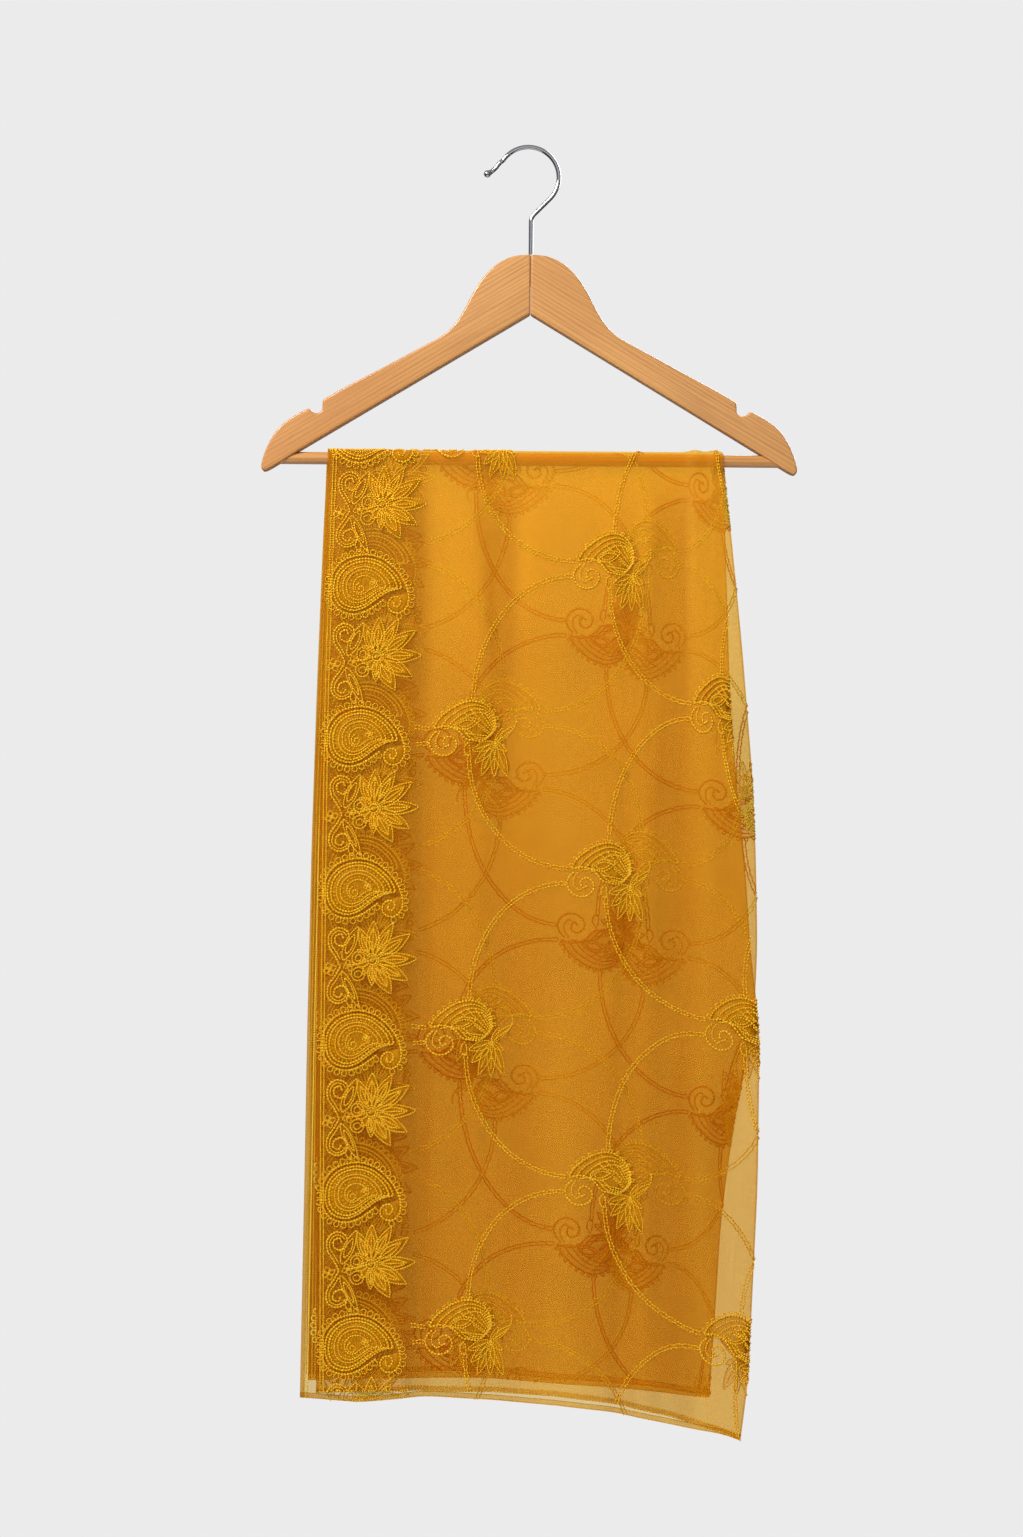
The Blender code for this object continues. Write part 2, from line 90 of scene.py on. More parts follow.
# Stole
CLOTH_THICKNESS = 0.3
FLAT_WIDTH = 724.0
FOLD_P = FLAT_WIDTH / 2
FRONT_LENGTH = 763.0  # below the bar's axis at the left, along the cloth
BACK_LENGTH = 753.0
QUARTER = 12.0  # of the cloth's turn round the bar
INNER_RADIUS = 6.0
OUTER_RADIUS = 7.2
OUTER_SPREAD = 3.6
INNER_SPREAD = 1.6
INNER_FOLD_SHARE = 0.55
SPREAD_DROP = 70.0
ROLL_WIDTH = 5.0  # of cloth in the rolled fold on the right
GATHER_START = 190.0  # from here towards the fold the cloth is gathered or eased
FRONT_EDGES = (
    # distance below the bar's axis, left edge of the outer and of the inner layer, right fold
    (0.0, -161.0, -162.6, 163.0),
    (60.0, -162.5, -165.5, 164.5),
    (195.0, -166.0, -170.0, 170.0),
    (262.0, -166.5, -171.7, 176.0),
    (320.0, -166.8, -173.2, 183.0),
    (400.0, -167.0, -174.3, 189.0),
    (465.0, -167.2, -175.5, 197.4),
    (590.0, -166.8, -176.8, 196.7),
    (755.0, -165.8, -179.0, 189.8),
    (803.0, -165.5, -179.6, 183.5),
)
BACK_EDGES = (
    (0.0, -164.3, -163.4, 165.0),
    (145.0, -169.0, -167.5, 180.9),
    (262.0, -172.5, -170.5, 191.7),
    (320.0, -173.6, -171.2, 194.6),
    (400.0, -174.3, -172.0, 196.9),
    (465.0, -174.7, -172.6, 194.0),
    (545.0, -175.0, -173.0, 178.0),
    (620.0, -175.2, -173.4, 168.0),
    (772.0, -175.6, -174.0, 159.0),
)
HEMS = (
    # x, distance below the bar's axis of the front outer, front inner, back outer and back inner layers
    (-180.0, 765.5, 769.2, 755.2, 759.0),
    (-130.0, 763.4, 772.9, 753.0, 757.5),
    (-73.0, 762.9, 767.5, 751.7, 756.0),
    (-20.0, 763.4, 770.4, 752.2, 756.5),
    (30.0, 765.6, 774.0, 756.5, 760.0),
    (74.0, 771.3, 779.0, 759.5, 763.0),
    (126.0, 783.0, 789.6, 764.5, 767.5),
    (166.0, 794.8, 796.5, 770.5, 771.5),
    (184.0, 802.5, 802.5, 772.5, 772.5),
)
FRONT_FOLDS = (
    # x, half width, height just below the bar, height at the hem
    (-84.0, 8.0, -2.4, -3.4),
    (-20.0, 14.0, -3.6, -1.4),
    (38.0, 26.0, 1.5, 2.8),
    (84.0, 9.0, -1.4, -2.4),
    (119.0, 13.0, -3.6, -2.6),
    (149.0, 11.0, 2.8, 1.4),
)
BACK_FOLDS = (
    (-92.0, 16.0, -1.0, -2.4),
    (-36.0, 30.0, 1.4, 2.8),
    (30.0, 22.0, -2.8, -1.2),
    (92.0, 28.0, 1.2, 2.4),
    (138.0, 16.0, -1.8, -2.6),
)
FRONT_CREASES = (
    # x and distance below the bar where a crease starts and ends, half width, height
    (-40.0, 4.0, -14.0, 215.0, 6.0, -1.0),
    (-10.0, 20.0, -22.0, 330.0, 9.0, -0.6),
    (112.0, 3.0, 96.0, 320.0, 7.0, -1.1),
    (127.0, 3.0, 131.0, 260.0, 4.0, -0.9),
    (-60.0, 362.0, 70.0, 352.0, 5.0, -0.45),
    (-84.0, 391.0, 20.0, 384.0, 4.0, 0.4),
    (60.0, 420.0, 172.0, 470.0, 7.0, 0.5),
    (150.0, 330.0, 120.0, 560.0, 10.0, -0.7),
    (-20.0, 560.0, -48.0, 750.0, 12.0, 0.8),
    (30.0, 640.0, 70.0, 752.0, 13.0, -0.8),
)
BACK_CREASES = (
    (-30.0, 5.0, -8.0, 240.0, 7.0, -1.0),
    (50.0, 8.0, 66.0, 300.0, 8.0, -0.8),
    (108.0, 4.0, 92.0, 280.0, 6.0, -1.0),
    (-70.0, 372.0, 60.0, 380.0, 5.0, -0.5),
    (130.0, 360.0, 96.0, 600.0, 10.0, -0.7),
    (10.0, 560.0, 36.0, 745.0, 12.0, 0.8),
)
PLEAT = (
    # x, half width, height twice, where the cloth is gathered at the bar's right end
    (139.0, 6.0, 2.0, 2.0),
    (154.0, 5.0, 1.7, 1.7),
)
PLEAT_DROP = 230.0
RIPPLES = (
    # height, length across, length down, phase
    (0.22, 97.0, 610.0, 0.4),
    (0.16, 53.0, -340.0, 2.1),
    (0.10, 31.0, 190.0, 4.0),
)
HEM_WIDTH = 4.6
HEM_INSET = 0.2
HEM_GAP = 0.15
EDGE_BAND = 3.6

# Mesh
STEEP = 0.5  # sideways lean of the cloth that counts as crowded
DEEP_FOLD = 3.6  # height of a fold that counts as deep
FALL_STEP = 6.0
TURN_STEP = 1.4
OUTER_STEP = 5.0
INNER_STEP = 7.5
ROLL_STEPS = 6
HEM_STEP = 1.5
EDGE_STEP = 1.7

# Photo's view
PIXEL = 0.821  # mm to a pixel of a picture 1537 pixels high
PICTURE_HEIGHT = 1537
CAMERA_DISTANCE = 2100.0
CAMERA_X = -10.0
CAMERA_Z = -508.5
CAMERA_ROLL = 0.45  # degrees
SENSOR = 36.0


def ramp(share):
    share = np.clip(share, 0.0, 1.0)
    return share * share * (3 - 2 * share)


def smooth_column(table, column, reach):
    """A table's column as a smooth function of its first, read between rows and averaged over the reach."""
    rows = np.array(table)
    grid = np.arange(rows[0, 0] - 2 * reach, rows[-1, 0] + 2 * reach, 1.0)
    first = (rows[1, column] - rows[0, column]) / (rows[1, 0] - rows[0, 0])
    last = (rows[-1, column] - rows[-2, column]) / (rows[-1, 0] - rows[-2, 0])
    values = np.interp(grid, rows[:, 0], rows[:, column])
    values += np.minimum(grid - rows[0, 0], 0.0) * first + np.maximum(grid - rows[-1, 0], 0.0) * last
    window = np.hanning(2 * reach + 1)
    smooth = np.convolve(values, window / window.sum(), "same")
    return lambda place: np.interp(place, grid[reach:-reach], smooth[reach:-reach])


def bumps(table, x, low_share):
    """Sum of soft ridges along x, whose height runs from one value to another."""
    total = np.zeros_like(x)
    for centre, width, low, high in table:
        total += (low + (high - low) * low_share) * np.exp(-(((x - centre) / width) ** 2))
    return total


def crease_height(creases, x, s):
    total = np.zeros_like(x)
    for x0, s0, x1, s1, width, height in creases:
        length = math.hypot(x1 - x0, s1 - s0)
        along_x, along_s = (x1 - x0) / length, (s1 - s0) / length
        along = ((x - x0) * along_x + (s - s0) * along_s) / length
        off = (x - x0) * along_s - (s - s0) * along_x
        fade = ramp(along / 0.2) * ramp((1 - along) / 0.35)
        total += height * fade * np.exp(-((off / width) ** 2))
    return total


def ripple_height(x, s):
    total = np.zeros_like(x)
    for height, across, down, phase in RIPPLES:
        total += height * np.sin(2 * math.pi * (x / across + s / down) + phase)
    return total


def pleat_height(x, s):
    return bumps(PLEAT, x, 0.0) * (1 - ramp(s / PLEAT_DROP))


class Fall:
    """The doubled cloth that hangs on one side of the bar: side is -1 in front, +1 behind."""

    def __init__(self, side, edges, folds, creases, hems, length):
        self.side, self.folds, self.creases, self.length = side, folds, creases, length
        self.left = [smooth_column(edges, column, 40) for column in (1, 2)]
        self.right = smooth_column(edges, 3, 40)
        self.hem = [smooth_column(HEMS, column, 12) for column in hems]

    def x_at(self, layer, flat_p, drop):
        """Across from the layer's free edge, the cloth near the fold eased to the width that is left."""
        left = self.left[layer](drop)
        width = self.right(drop) - OUTER_SPREAD / 2 - left
        eased = np.clip((flat_p - GATHER_START) / (FOLD_P - GATHER_START), 0.0, 1.0)
        return left + flat_p - (FOLD_P - width) * eased**2

    def shape_at(self, x, s):
        """How far the folds, creases and ripples stand off the cloth's plain hang."""
        loose = ramp(s / SPREAD_DROP)
        shape = bumps(self.folds, x, s / self.length) * loose
        return shape + crease_height(self.creases, x, s) + ripple_height(x, s) * loose

    def depth_at(self, layer, x, s):
        loose = ramp(s / SPREAD_DROP)
        shape = self.shape_at(x, s)
        if layer == 0:
            return OUTER_RADIUS + OUTER_SPREAD * loose + shape + pleat_height(x, s)
        return INNER_RADIUS + INNER_SPREAD * loose + INNER_FOLD_SHARE * shape

    def layer_point(self, layer, flat_p, s):
        """Points of one layer, 0 for the outer and 1 for the inner, s below the bar along the cloth."""
        drop = s
        for _ in range(4):
            x = self.x_at(layer, flat_p, drop)
            drop = s * self.hem[layer](x) / self.length
        return np.stack([x, self.side * self.depth_at(layer, x, s), BAR_Z - drop], axis=-1)


FRONT = Fall(-1, FRONT_EDGES, FRONT_FOLDS, FRONT_CREASES, (1, 2), FRONT_LENGTH)
BACK = Fall(1, BACK_EDGES, BACK_FOLDS, BACK_CREASES, (3, 4), BACK_LENGTH)


def turn_point(layer, flat_p, q):
    """Points of one layer where it goes over the bar."""
    share = (QUARTER - q) / (2 * QUARTER)
    none = np.zeros_like(q)
    x = FRONT.x_at(layer, flat_p, none) * (1 - share) + BACK.x_at(layer, flat_p, none) * share
    radius = OUTER_RADIUS + pleat_height(x, none) if layer == 0 else INNER_RADIUS
    angle = math.pi / 2 * q / QUARTER
    return np.stack([x, -radius * np.sin(angle), BAR_Z + radius * np.cos(angle)], axis=-1)


def layer_points(layer, flat_p, q):
    front = FRONT.layer_point(layer, flat_p, np.maximum(q - QUARTER, 0.0))
    back = BACK.layer_point(layer, flat_p, np.maximum(-q - QUARTER, 0.0))
    turn = turn_point(layer, flat_p, np.clip(q, -QUARTER, QUARTER))
    points = np.where((q > QUARTER)[..., None], front, turn)
    return np.where((q < -QUARTER)[..., None], back, points)


def cloth_points(p, q):
    """The cloth's middle surface, round the rolled fold from the outer layer to the inner one."""
    roll_start = FOLD_P - ROLL_WIDTH / 2
    angle = np.clip((p - roll_start) / ROLL_WIDTH, 0.0, 1.0) * math.pi
    flat_p = np.minimum(np.minimum(p, FLAT_WIDTH - p), roll_start)
    outer = layer_points(0, flat_p, q)
    inner = layer_points(1, flat_p, q)
    reach = (outer - inner) / 2
    points = inner + reach * (1 + np.cos(angle))[..., None]
    points[..., 0] += np.linalg.norm(reach, axis=-1) * np.sin(angle)
    return points


def relief(points, q):
    """Where the cloth lies in its folds: 0 in a deep hollow, 0.5 on the plain hang, 1 on a high crest."""
    x = points[..., 0]
    front = FRONT.shape_at(x, np.maximum(q - QUARTER, 0.0))
    back = BACK.shape_at(x, np.maximum(-q - QUARTER, 0.0))
    return np.clip(0.5 + np.where(q > 0.0, front, back) / (2 * DEEP_FOLD), 0.0, 1.0)


def cloth_frame(p, q):
    """Points, the directions of growing p and q, and the outward direction of the cloth's right side."""
    step = 0.5
    points = cloth_points(p, q)
    along_p = cloth_points(p + step, q) - cloth_points(p - step, q)
    along_q = cloth_points(p, q + step) - cloth_points(p, q - step)
    out = np.cross(along_q, along_p)
    unit = [v / np.linalg.norm(v, axis=-1, keepdims=True) for v in (along_p, along_q, out)]
    return points, *unit


def new_collection(name):
    collection = bpy.data.collections.new(name)
    bpy.context.scene.collection.children.link(collection)
    return collection


STUDIO, LOOKS = new_collection("Studio"), new_collection("Looks")


def mesh_from_arrays(name, points, faces, material):
    """A mesh object from points in millimetres and faces that all have the same number of corners."""
    mesh = bpy.data.meshes.new(name)
    corners = faces.shape[1]
    points = points.reshape(-1, 3) * MM
    mesh.vertices.add(len(points))
    mesh.vertices.foreach_set("co", points.astype(np.float32).ravel())
    mesh.loops.add(faces.size)
    mesh.loops.foreach_set("vertex_index", faces.astype(np.int32).ravel())
    mesh.polygons.add(len(faces))
    mesh.polygons.foreach_set("loop_start", np.arange(0, faces.size, corners, dtype=np.int32))
    mesh.polygons.foreach_set("loop_total", np.full(len(faces), corners, dtype=np.int32))
    mesh.update(calc_edges=True)
    mesh.validate()
    mesh.shade_smooth()
    mesh.materials.append(material)
    obj = bpy.data.objects.new(name, mesh)
    LOOKS.objects.link(obj)
    return obj


def point_values(piece, name, values):
    attribute = piece.data.attributes.new(name, "FLOAT", "POINT")
    attribute.data.foreach_set("value", values.astype(np.float32))


def grid_faces(rows, columns):
    first = np.arange(rows - 1)[:, None] * columns + np.arange(columns - 1)[None, :]
    first = first.ravel()
    return np.stack([first, first + columns, first + columns + 1, first + 1], axis=-1)


def thicken(piece, thickness):
    shell = piece.modifiers.new("Thickness", "SOLIDIFY")
    shell.offset = 0.0
    shell.thickness = thickness * MM


def cloth_strip(name, p_values, q_values, lift, material):
    """A thin shell over these places of the cloth, lifted off its right side."""
    p, q = np.meshgrid(p_values, q_values)
    points, _, _, out = cloth_frame(p, q)
    points = points + out * lift
    strip = mesh_from_arrays(name, points, grid_faces(*p.shape), material)
    layer = strip.data.uv_layers.new(name="cloth")
    flat = np.stack([p.ravel(), q.ravel()], axis=-1) * MM
    corner_verts = np.empty(len(strip.data.loops), dtype=np.int32)
    strip.data.loops.foreach_get("vertex_index", corner_verts)
    layer.data.foreach_set("uv", flat[corner_verts].astype(np.float32).ravel())
    point_values(strip, "crowd", ramp(np.abs(out[..., 0]).ravel() / STEEP))
    # the relief carries painted shade into the fold hollows and painted light onto the crests
    point_values(strip, "relief", relief(points, q).ravel())
    thicken(strip, CLOTH_THICKNESS)
    return strip


def fall_values(start, end, step):
    return np.linspace(start, end, max(2, round(abs(end - start) / step) + 1))


Q_FRONT = QUARTER + FRONT_LENGTH
Q_BACK = -(QUARTER + BACK_LENGTH)


def q_rows():
    """Rows of the whole cloth from the hem behind, over the bar, to the hem in front."""
    back = fall_values(Q_BACK, -QUARTER, FALL_STEP)
    turn = fall_values(-QUARTER, QUARTER, TURN_STEP)
    front = fall_values(QUARTER, Q_FRONT, FALL_STEP)
    return np.concatenate([back[:-1], turn, front[1:]])


def p_columns():
    roll_start = FOLD_P - ROLL_WIDTH / 2
    outer = fall_values(0.0, roll_start, OUTER_STEP)
    roll = np.linspace(roll_start, roll_start + ROLL_WIDTH, ROLL_STEPS + 1)
    inner = fall_values(roll_start + ROLL_WIDTH, FLAT_WIDTH, INNER_STEP)
    return np.concatenate([outer[:-1], roll, inner[1:]])


def build_hems(material):
    """Turned hems along the two ends and the two long edges, each one more layer under the cloth."""
    rows, columns = q_rows(), p_columns()
    far_edge = fall_values(FLAT_WIDTH - EDGE_BAND, FLAT_WIDTH - HEM_INSET, EDGE_STEP)
    bands = {
        "stole_hem_front": (columns, fall_values(Q_FRONT - HEM_WIDTH, Q_FRONT - HEM_INSET, HEM_STEP)),
        "stole_hem_back": (columns, fall_values(Q_BACK + HEM_INSET, Q_BACK + HEM_WIDTH, HEM_STEP)),
        "stole_edge_outer": (fall_values(HEM_INSET, EDGE_BAND, EDGE_STEP), rows),
        "stole_edge_inner": (far_edge, rows),
    }
    lift = -(CLOTH_THICKNESS + HEM_GAP)
    return [cloth_strip(name, *values, lift, material) for name, values in bands.items()]


# A kind of chain stitch: how far apart, how long, wide and high, and its lean off its line in degrees
Stitch = namedtuple("Stitch", "pitch length width height lean")
CHAIN = Stitch(2.5, 4.2, 2.3, 1.3, 11.0)
FINE = Stitch(2.0, 3.3, 1.8, 1.1, 9.0)
LOOP = Stitch(1.7, 2.8, 1.5, 1.0, 6.0)
CORD = Stitch(2.7, 4.1, 1.5, 1.0, 6.0)
HEM = Stitch(2.6, 2.5, 0.9, 0.5, 5.0)
SEED_STITCH = Stitch(3.4, 1.9, 1.5, 0.8, 40.0)


def curve_through(points, closed=False, steps=12):
    """Dense points of a Catmull-Rom curve through a few right and up places."""
    points = np.array(points, dtype=float)
    if closed:
        ends = np.vstack([points[-1], points, points[0], points[1]])
    else:
        ends = np.vstack([2 * points[0] - points[1], points, 2 * points[-1] - points[-2]])
    t = (np.arange(steps) / steps)[:, None]
    dense = []
    for a, b, c, d in zip(ends, ends[1:], ends[2:], ends[3:]):
        square, cube = 2 * a - 5 * b + 4 * c - d, 3 * b - a - 3 * c + d
        dense.append(0.5 * (2 * b + (c - a) * t + square * t**2 + cube * t**3))
    dense.append(ends[-2][None, :])
    return np.vstack(dense)


def lengths_along(line):
    """The distance along a line at each of its points."""
    steps = np.linalg.norm(np.diff(line, axis=0), axis=1)
    return np.concatenate([[0.0], np.cumsum(steps)])


def place_on(line, length, place):
    """Right and up at a distance along a line, or at several."""
    return np.array([np.interp(place, length, line[:, axis]) for axis in (0, 1)])


def line_stitches(line, kind=CHAIN, phase=0):
    """Stitches along a dense line: right, up, angle, length, width, height, one row each."""
    line = np.array(line)
    length = lengths_along(line)
    count = max(1, round(length[-1] / kind.pitch))
    middle = (np.arange(count) + 0.5) / count * length[-1]
    x, y = place_on(line, length, middle)
    reach = kind.pitch / 2
    dx, dy = place_on(line, length, middle + reach) - place_on(line, length, middle - reach)
    lean = math.radians(kind.lean) * (1 - 2 * ((np.arange(count) + phase) % 2))
    sizes = [np.full(count, size) for size in (kind.length, kind.width, kind.height)]
    return np.stack([x, y, np.arctan2(dy, dx) + lean, *sizes], axis=-1)


def moved(stitches, right=0.0, up=0.0, angle=0.0, scale=1.0):
    """Stitches turned by the angle in degrees, scaled and moved."""
    turn = math.radians(angle)
    x, y = stitches[:, 0] * scale, stitches[:, 1] * scale
    new = stitches.copy()
    new[:, 0] = x * math.cos(turn) - y * math.sin(turn) + right
    new[:, 1] = x * math.sin(turn) + y * math.cos(turn) + up
    new[:, 2] += turn
    return new


def towards(line, focus, share):
    """The line drawn in towards a point, for a row inside another."""
    return np.array(focus) + (np.array(line) - np.array(focus)) * share


def leaf_line(length, half_width):
    """A pointed leaf along +X from the origin, as one closed line."""
    t = np.linspace(0.0, 1.0, 16)
    side = half_width * np.sin(math.pi * t**0.85) ** 0.8
    upper = np.stack([t * length, side], axis=-1)
    lower = np.stack([t[::-1] * length, -side[::-1]], axis=-1)
    return np.vstack([upper, lower[1:]])


def leaf(right, up, direction, length, half_width, rows=1, kind=FINE):
    """A leaf of nested rows of stitches, from its base at this place."""
    outline = leaf_line(length, half_width)
    made = [line_stitches(outline, kind)]
    for row in range(1, rows):
        inside = towards(outline, (length * 0.45, 0.0), 1 - row * 0.42)
        made.append(line_stitches(inside, kind, row))
    return moved(np.vstack(made), right, up, direction)


def spiral_line(centre, outer, inner, start, turns):
    """A spiral from its outer end, its angles in degrees, turning clockwise for negative turns."""
    t = np.linspace(0.0, 1.0, max(8, int(abs(turns) * 20)))
    radius = outer + (inner - outer) * t**0.8
    angle = math.radians(start) + turns * 2 * math.pi * t
    return np.stack([centre[0] + radius * np.cos(angle), centre[1] + radius * np.sin(angle)], axis=-1)


SCALLOP_STAND = 1.25  # radii from a line to its loops' middles
SCALLOP_TURN = 0.92


def rosette(right, up, radius):
    """A small flower of four round loops about a middle stitch."""
    made = [line_stitches(spiral_line((right, up), radius * 0.22, radius * 0.2, 0.0, 1.0), LOOP)]
    for angle in (20.0, 110.0, 200.0, 290.0):
        made.append(leaf(right, up, angle, radius, radius * 0.42, 1, LOOP))
    return np.vstack(made)


def scallops(line, spacing, radius):
    """Small loops along the left side of a line."""
    length = lengths_along(line)
    count = max(1, round(length[-1] / spacing))
    made = []
    for index in range(count):
        place = (index + 0.5) / count * length[-1]
        x, y = place_on(line, length, place)
        dx, dy = place_on(line, length, place + 1.0) - place_on(line, length, place - 1.0)
        size = math.hypot(dx, dy)
        centre = (x - dy / size * radius * SCALLOP_STAND, y + dx / size * radius * SCALLOP_STAND)
        start = math.degrees(math.atan2(y - centre[1], x - centre[0]))
        made.append(line_stitches(spiral_line(centre, radius, radius, start, SCALLOP_TURN), LOOP))
    return np.vstack(made)


# Border paisley, right and up from its middle
PAISLEY_BODY = (
    (24.6, -0.9), (21.5, 6.5), (15.0, 14.0), (5.5, 20.5), (-7.0, 23.0), (-20.0, 19.3),
    (-28.5, 10.5), (-31.0, -0.5), (-29.3, -10.0), (-24.0, -16.4), (-14.4, -19.3), (-5.3, -16.6),
    (2.3, -11.3), (9.0, -6.4), (16.0, -2.9), (24.6, -0.9),
)
PAISLEY_HOOK = (
    (10.5, -10.2), (3.5, -15.4), (-4.5, -20.2), (-14.5, -22.6), (-25.6, -19.4), (-32.3, -11.0),
    (-34.0, 0.0), (-31.4, 12.2), (-22.3, 22.2), (-7.3, 26.2), (6.8, 23.5), (17.5, 16.0),
    (25.6, 6.0), (30.0, -5.0), (29.8, -14.5), (24.5, -20.8), (17.3, -20.3), (13.8, -15.2),
    (16.0, -9.6), (21.2, -8.2), (24.0, -11.6), (22.0, -16.0), (18.6, -15.2), (18.9, -12.4),
)
PAISLEY_FOCUS = (-6.0, 1.0)
SPIRAL_FOCUS = (21.5, -14.0)
HOOK_ROUND_SHARE = 0.68  # of the hook's line, from its start, that has loops outside it
PAISLEY_SHARES = (1.0, 0.885, 0.70, 0.58, 0.36)


def border_paisley():
    """Nested rows of the body, the hooked row round it with its loops, and the small stitches between."""
    body = curve_through(PAISLEY_BODY)
    made = [
        line_stitches(towards(body, PAISLEY_FOCUS, share), FINE if row > 1 else CHAIN, row)
        for row, share in enumerate(PAISLEY_SHARES)
    ]
    hook = curve_through(PAISLEY_HOOK)
    made.append(line_stitches(hook))
    made.append(scallops(hook[: int(len(hook) * HOOK_ROUND_SHARE)], 5.4, 2.1))
    made.append(line_stitches(spiral_line((-9.0, -1.5), 5.0, 1.0, 100.0, 1.4), FINE))
    made.append(rosette(1.5, 3.5, 3.0))
    for share in (0.79, 0.47):
        made.append(line_stitches(towards(body, PAISLEY_FOCUS, share)[::2], SEED_STITCH))
    return np.vstack(made)


# Border flower: direction in degrees, reach, half width of each petal
BORDER_PETALS = (
    (112.0, 28.0, 4.6), (88.0, 32.0, 5.2), (61.0, 35.0, 4.6), (35.0, 37.0, 5.6), (2.0, 36.5, 5.4),
    (-29.0, 33.0, 5.6), (-60.0, 31.0, 6.0), (-90.0, 20.0, 3.4), (144.0, 14.5, 3.0),
    (200.0, 12.5, 2.8), (237.0, 14.0, 2.4),
)
PETAL_START = 3.0


def spray(centre, petals, start, kind, veined, vein_start, rows=1):
    """Petals about a centre, of their direction, reach and half width. The wide ones have a vein."""
    made = []
    for direction, reach, half_width in petals:
        turn = math.radians(direction)
        base = (centre[0] + start * math.cos(turn), centre[1] + start * math.sin(turn))
        length = reach - start
        wide = half_width > veined
        made.append(leaf(*base, direction, length, half_width, rows if wide else 1, kind))
        if wide:
            vein = ((vein_start * length, 0.0), (0.8 * length, 0.0))
            made.append(moved(line_stitches(vein, kind), *base, direction))
    return made


def border_flower():
    made = spray((0.0, 0.0), BORDER_PETALS, PETAL_START, FINE, 3.0, 0.15, 2)
    made.append(line_stitches(spiral_line((0.0, 0.0), 2.4, 0.6, 0.0, 1.5), LOOP))
    return np.vstack(made)


# Scrolls between two paisleys, right and up from where their stems cross
UPPER_SCROLL = (
    (0.0, 0.0), (-4.2, 8.0), (-9.3, 16.5), (-9.2, 26.0), (-2.6, 31.4), (5.2, 28.6), (6.6, 21.5),
    (1.8, 16.6), (-3.8, 18.8), (-4.2, 24.4), (0.4, 26.2), (2.4, 22.4),
)
LOWER_SCROLL = (
    (0.0, 0.0), (-4.2, -7.4), (-9.6, -15.6), (-9.8, -25.0), (-2.9, -30.0), (5.0, -27.2),
    (6.4, -20.2), (1.4, -15.8), (-4.2, -18.3), (-4.7, -23.4), (-0.6, -25.0), (1.6, -21.6),
)
SCROLL_STEM = ((7.0, 1.0), (14.0, 1.6), (21.0, 3.6), (26.0, 4.6))


def border_scrolls():
    """Two scrolls, the leaves, rosettes and rings between them, and the stem to the flower."""
    made = []
    for scroll in (UPPER_SCROLL, LOWER_SCROLL):
        outer = curve_through(scroll)
        made.append(line_stitches(outer))
        inner = towards(outer[: len(outer) // 2], (-1.0, math.copysign(22.0, scroll[-1][1])), 0.74)
        made.append(line_stitches(inner, FINE, 1))
    made.append(leaf(2.0, 5.0, 66.0, 30.0, 4.4, 2))
    made.append(leaf(1.0, -4.0, -64.0, 33.0, 3.4, 2))
    made.append(leaf(6.5, -23.5, -78.0, 11.0, 2.2))
    made.append(rosette(-8.6, -2.2, 5.4))
    made.append(rosette(7.0, 0.8, 4.6))
    for centre, radius, start in (((14.4, 7.0), 5.4, 200.0), ((14.6, -6.2), 5.8, 150.0)):
        made.append(line_stitches(spiral_line(centre, radius, radius * 0.9, start, 1.0), FINE))
        made.append(line_stitches(spiral_line(centre, radius * 0.55, radius * 0.4, start, 1.0), LOOP))
    made.append(line_stitches(curve_through(SCROLL_STEM)))
    return np.vstack(made)


# Field motif, right and up from its place: a domed paisley with a scroll and a hanging leaf spray
DOME = (
    (-43.0, 7.2), (-39.0, 14.4), (-30.9, 21.4), (-22.2, 26.5), (-13.0, 28.6), (-4.7, 26.6),
    (1.2, 21.4), (4.2, 15.2), (5.0, 7.4),
)
DOME_UNDER = (
    (-43.0, 7.2), (-33.5, 9.0), (-25.0, 6.4), (-18.0, -0.4), (-11.8, -1.6), (-5.4, -2.2),
    (1.0, 2.6), (5.0, 7.4),
)
DOME_FOCUS = (0.5, 4.5)
DOME_SHARES = (1.0, 0.87, 0.75, 0.63)
UNDER_SHARES = (1.0, 0.82, 0.64)
DOME_MIDDLE = (-13.0, 10.0)
DOME_RAYS = (
    # right and up of both ends of the rows that fan out under the dome
    (2.0, 3.0, -20.0, 19.5), (2.6, 4.5, -14.5, 22.0), (3.0, 6.0, -8.5, 22.4),
    (3.2, 8.0, -3.5, 20.0), (0.5, 1.5, -18.0, 3.6), (1.0, 2.2, -9.0, 9.5),
)
FIELD_SCROLL = (
    (-40.5, 5.0), (-44.8, 0.4), (-46.0, -5.0), (-42.8, -10.8), (-36.8, -13.6), (-30.2, -12.4),
    (-25.8, -8.0), (-25.6, -3.0), (-29.0, 0.6), (-33.6, 0.4), (-35.6, -3.6), (-32.8, -6.8),
    (-30.4, -4.6),
)
SCROLL_BACK = (
    (-37.5, 5.2), (-40.6, 0.2), (-40.8, -5.4), (-37.4, -8.6), (-34.6, -7.4),
)
FIELD_LEAVES = (
    # direction, reach, half width
    (63.0, 13.0, 1.9), (42.0, 20.0, 2.2), (-34.0, 11.0, 2.2), (199.0, 18.5, 3.5),
    (226.0, 22.0, 3.3), (248.0, 27.0, 3.6), (269.0, 26.0, 3.2), (291.0, 26.5, 3.8),
)
LEAF_CENTRE = (4.5, -3.5)
STEM_LOOP = ((-16.0, -3.0), (-19.0, -7.0), (-18.4, -12.0), (-15.6, -13.4), (-14.6, -10.0), (-15.4, -5.0))
TENDRIL = ((6.0, -2.0), (13.5, 3.5), (18.0, 7.5), (20.6, 12.6), (20.2, 18.0))


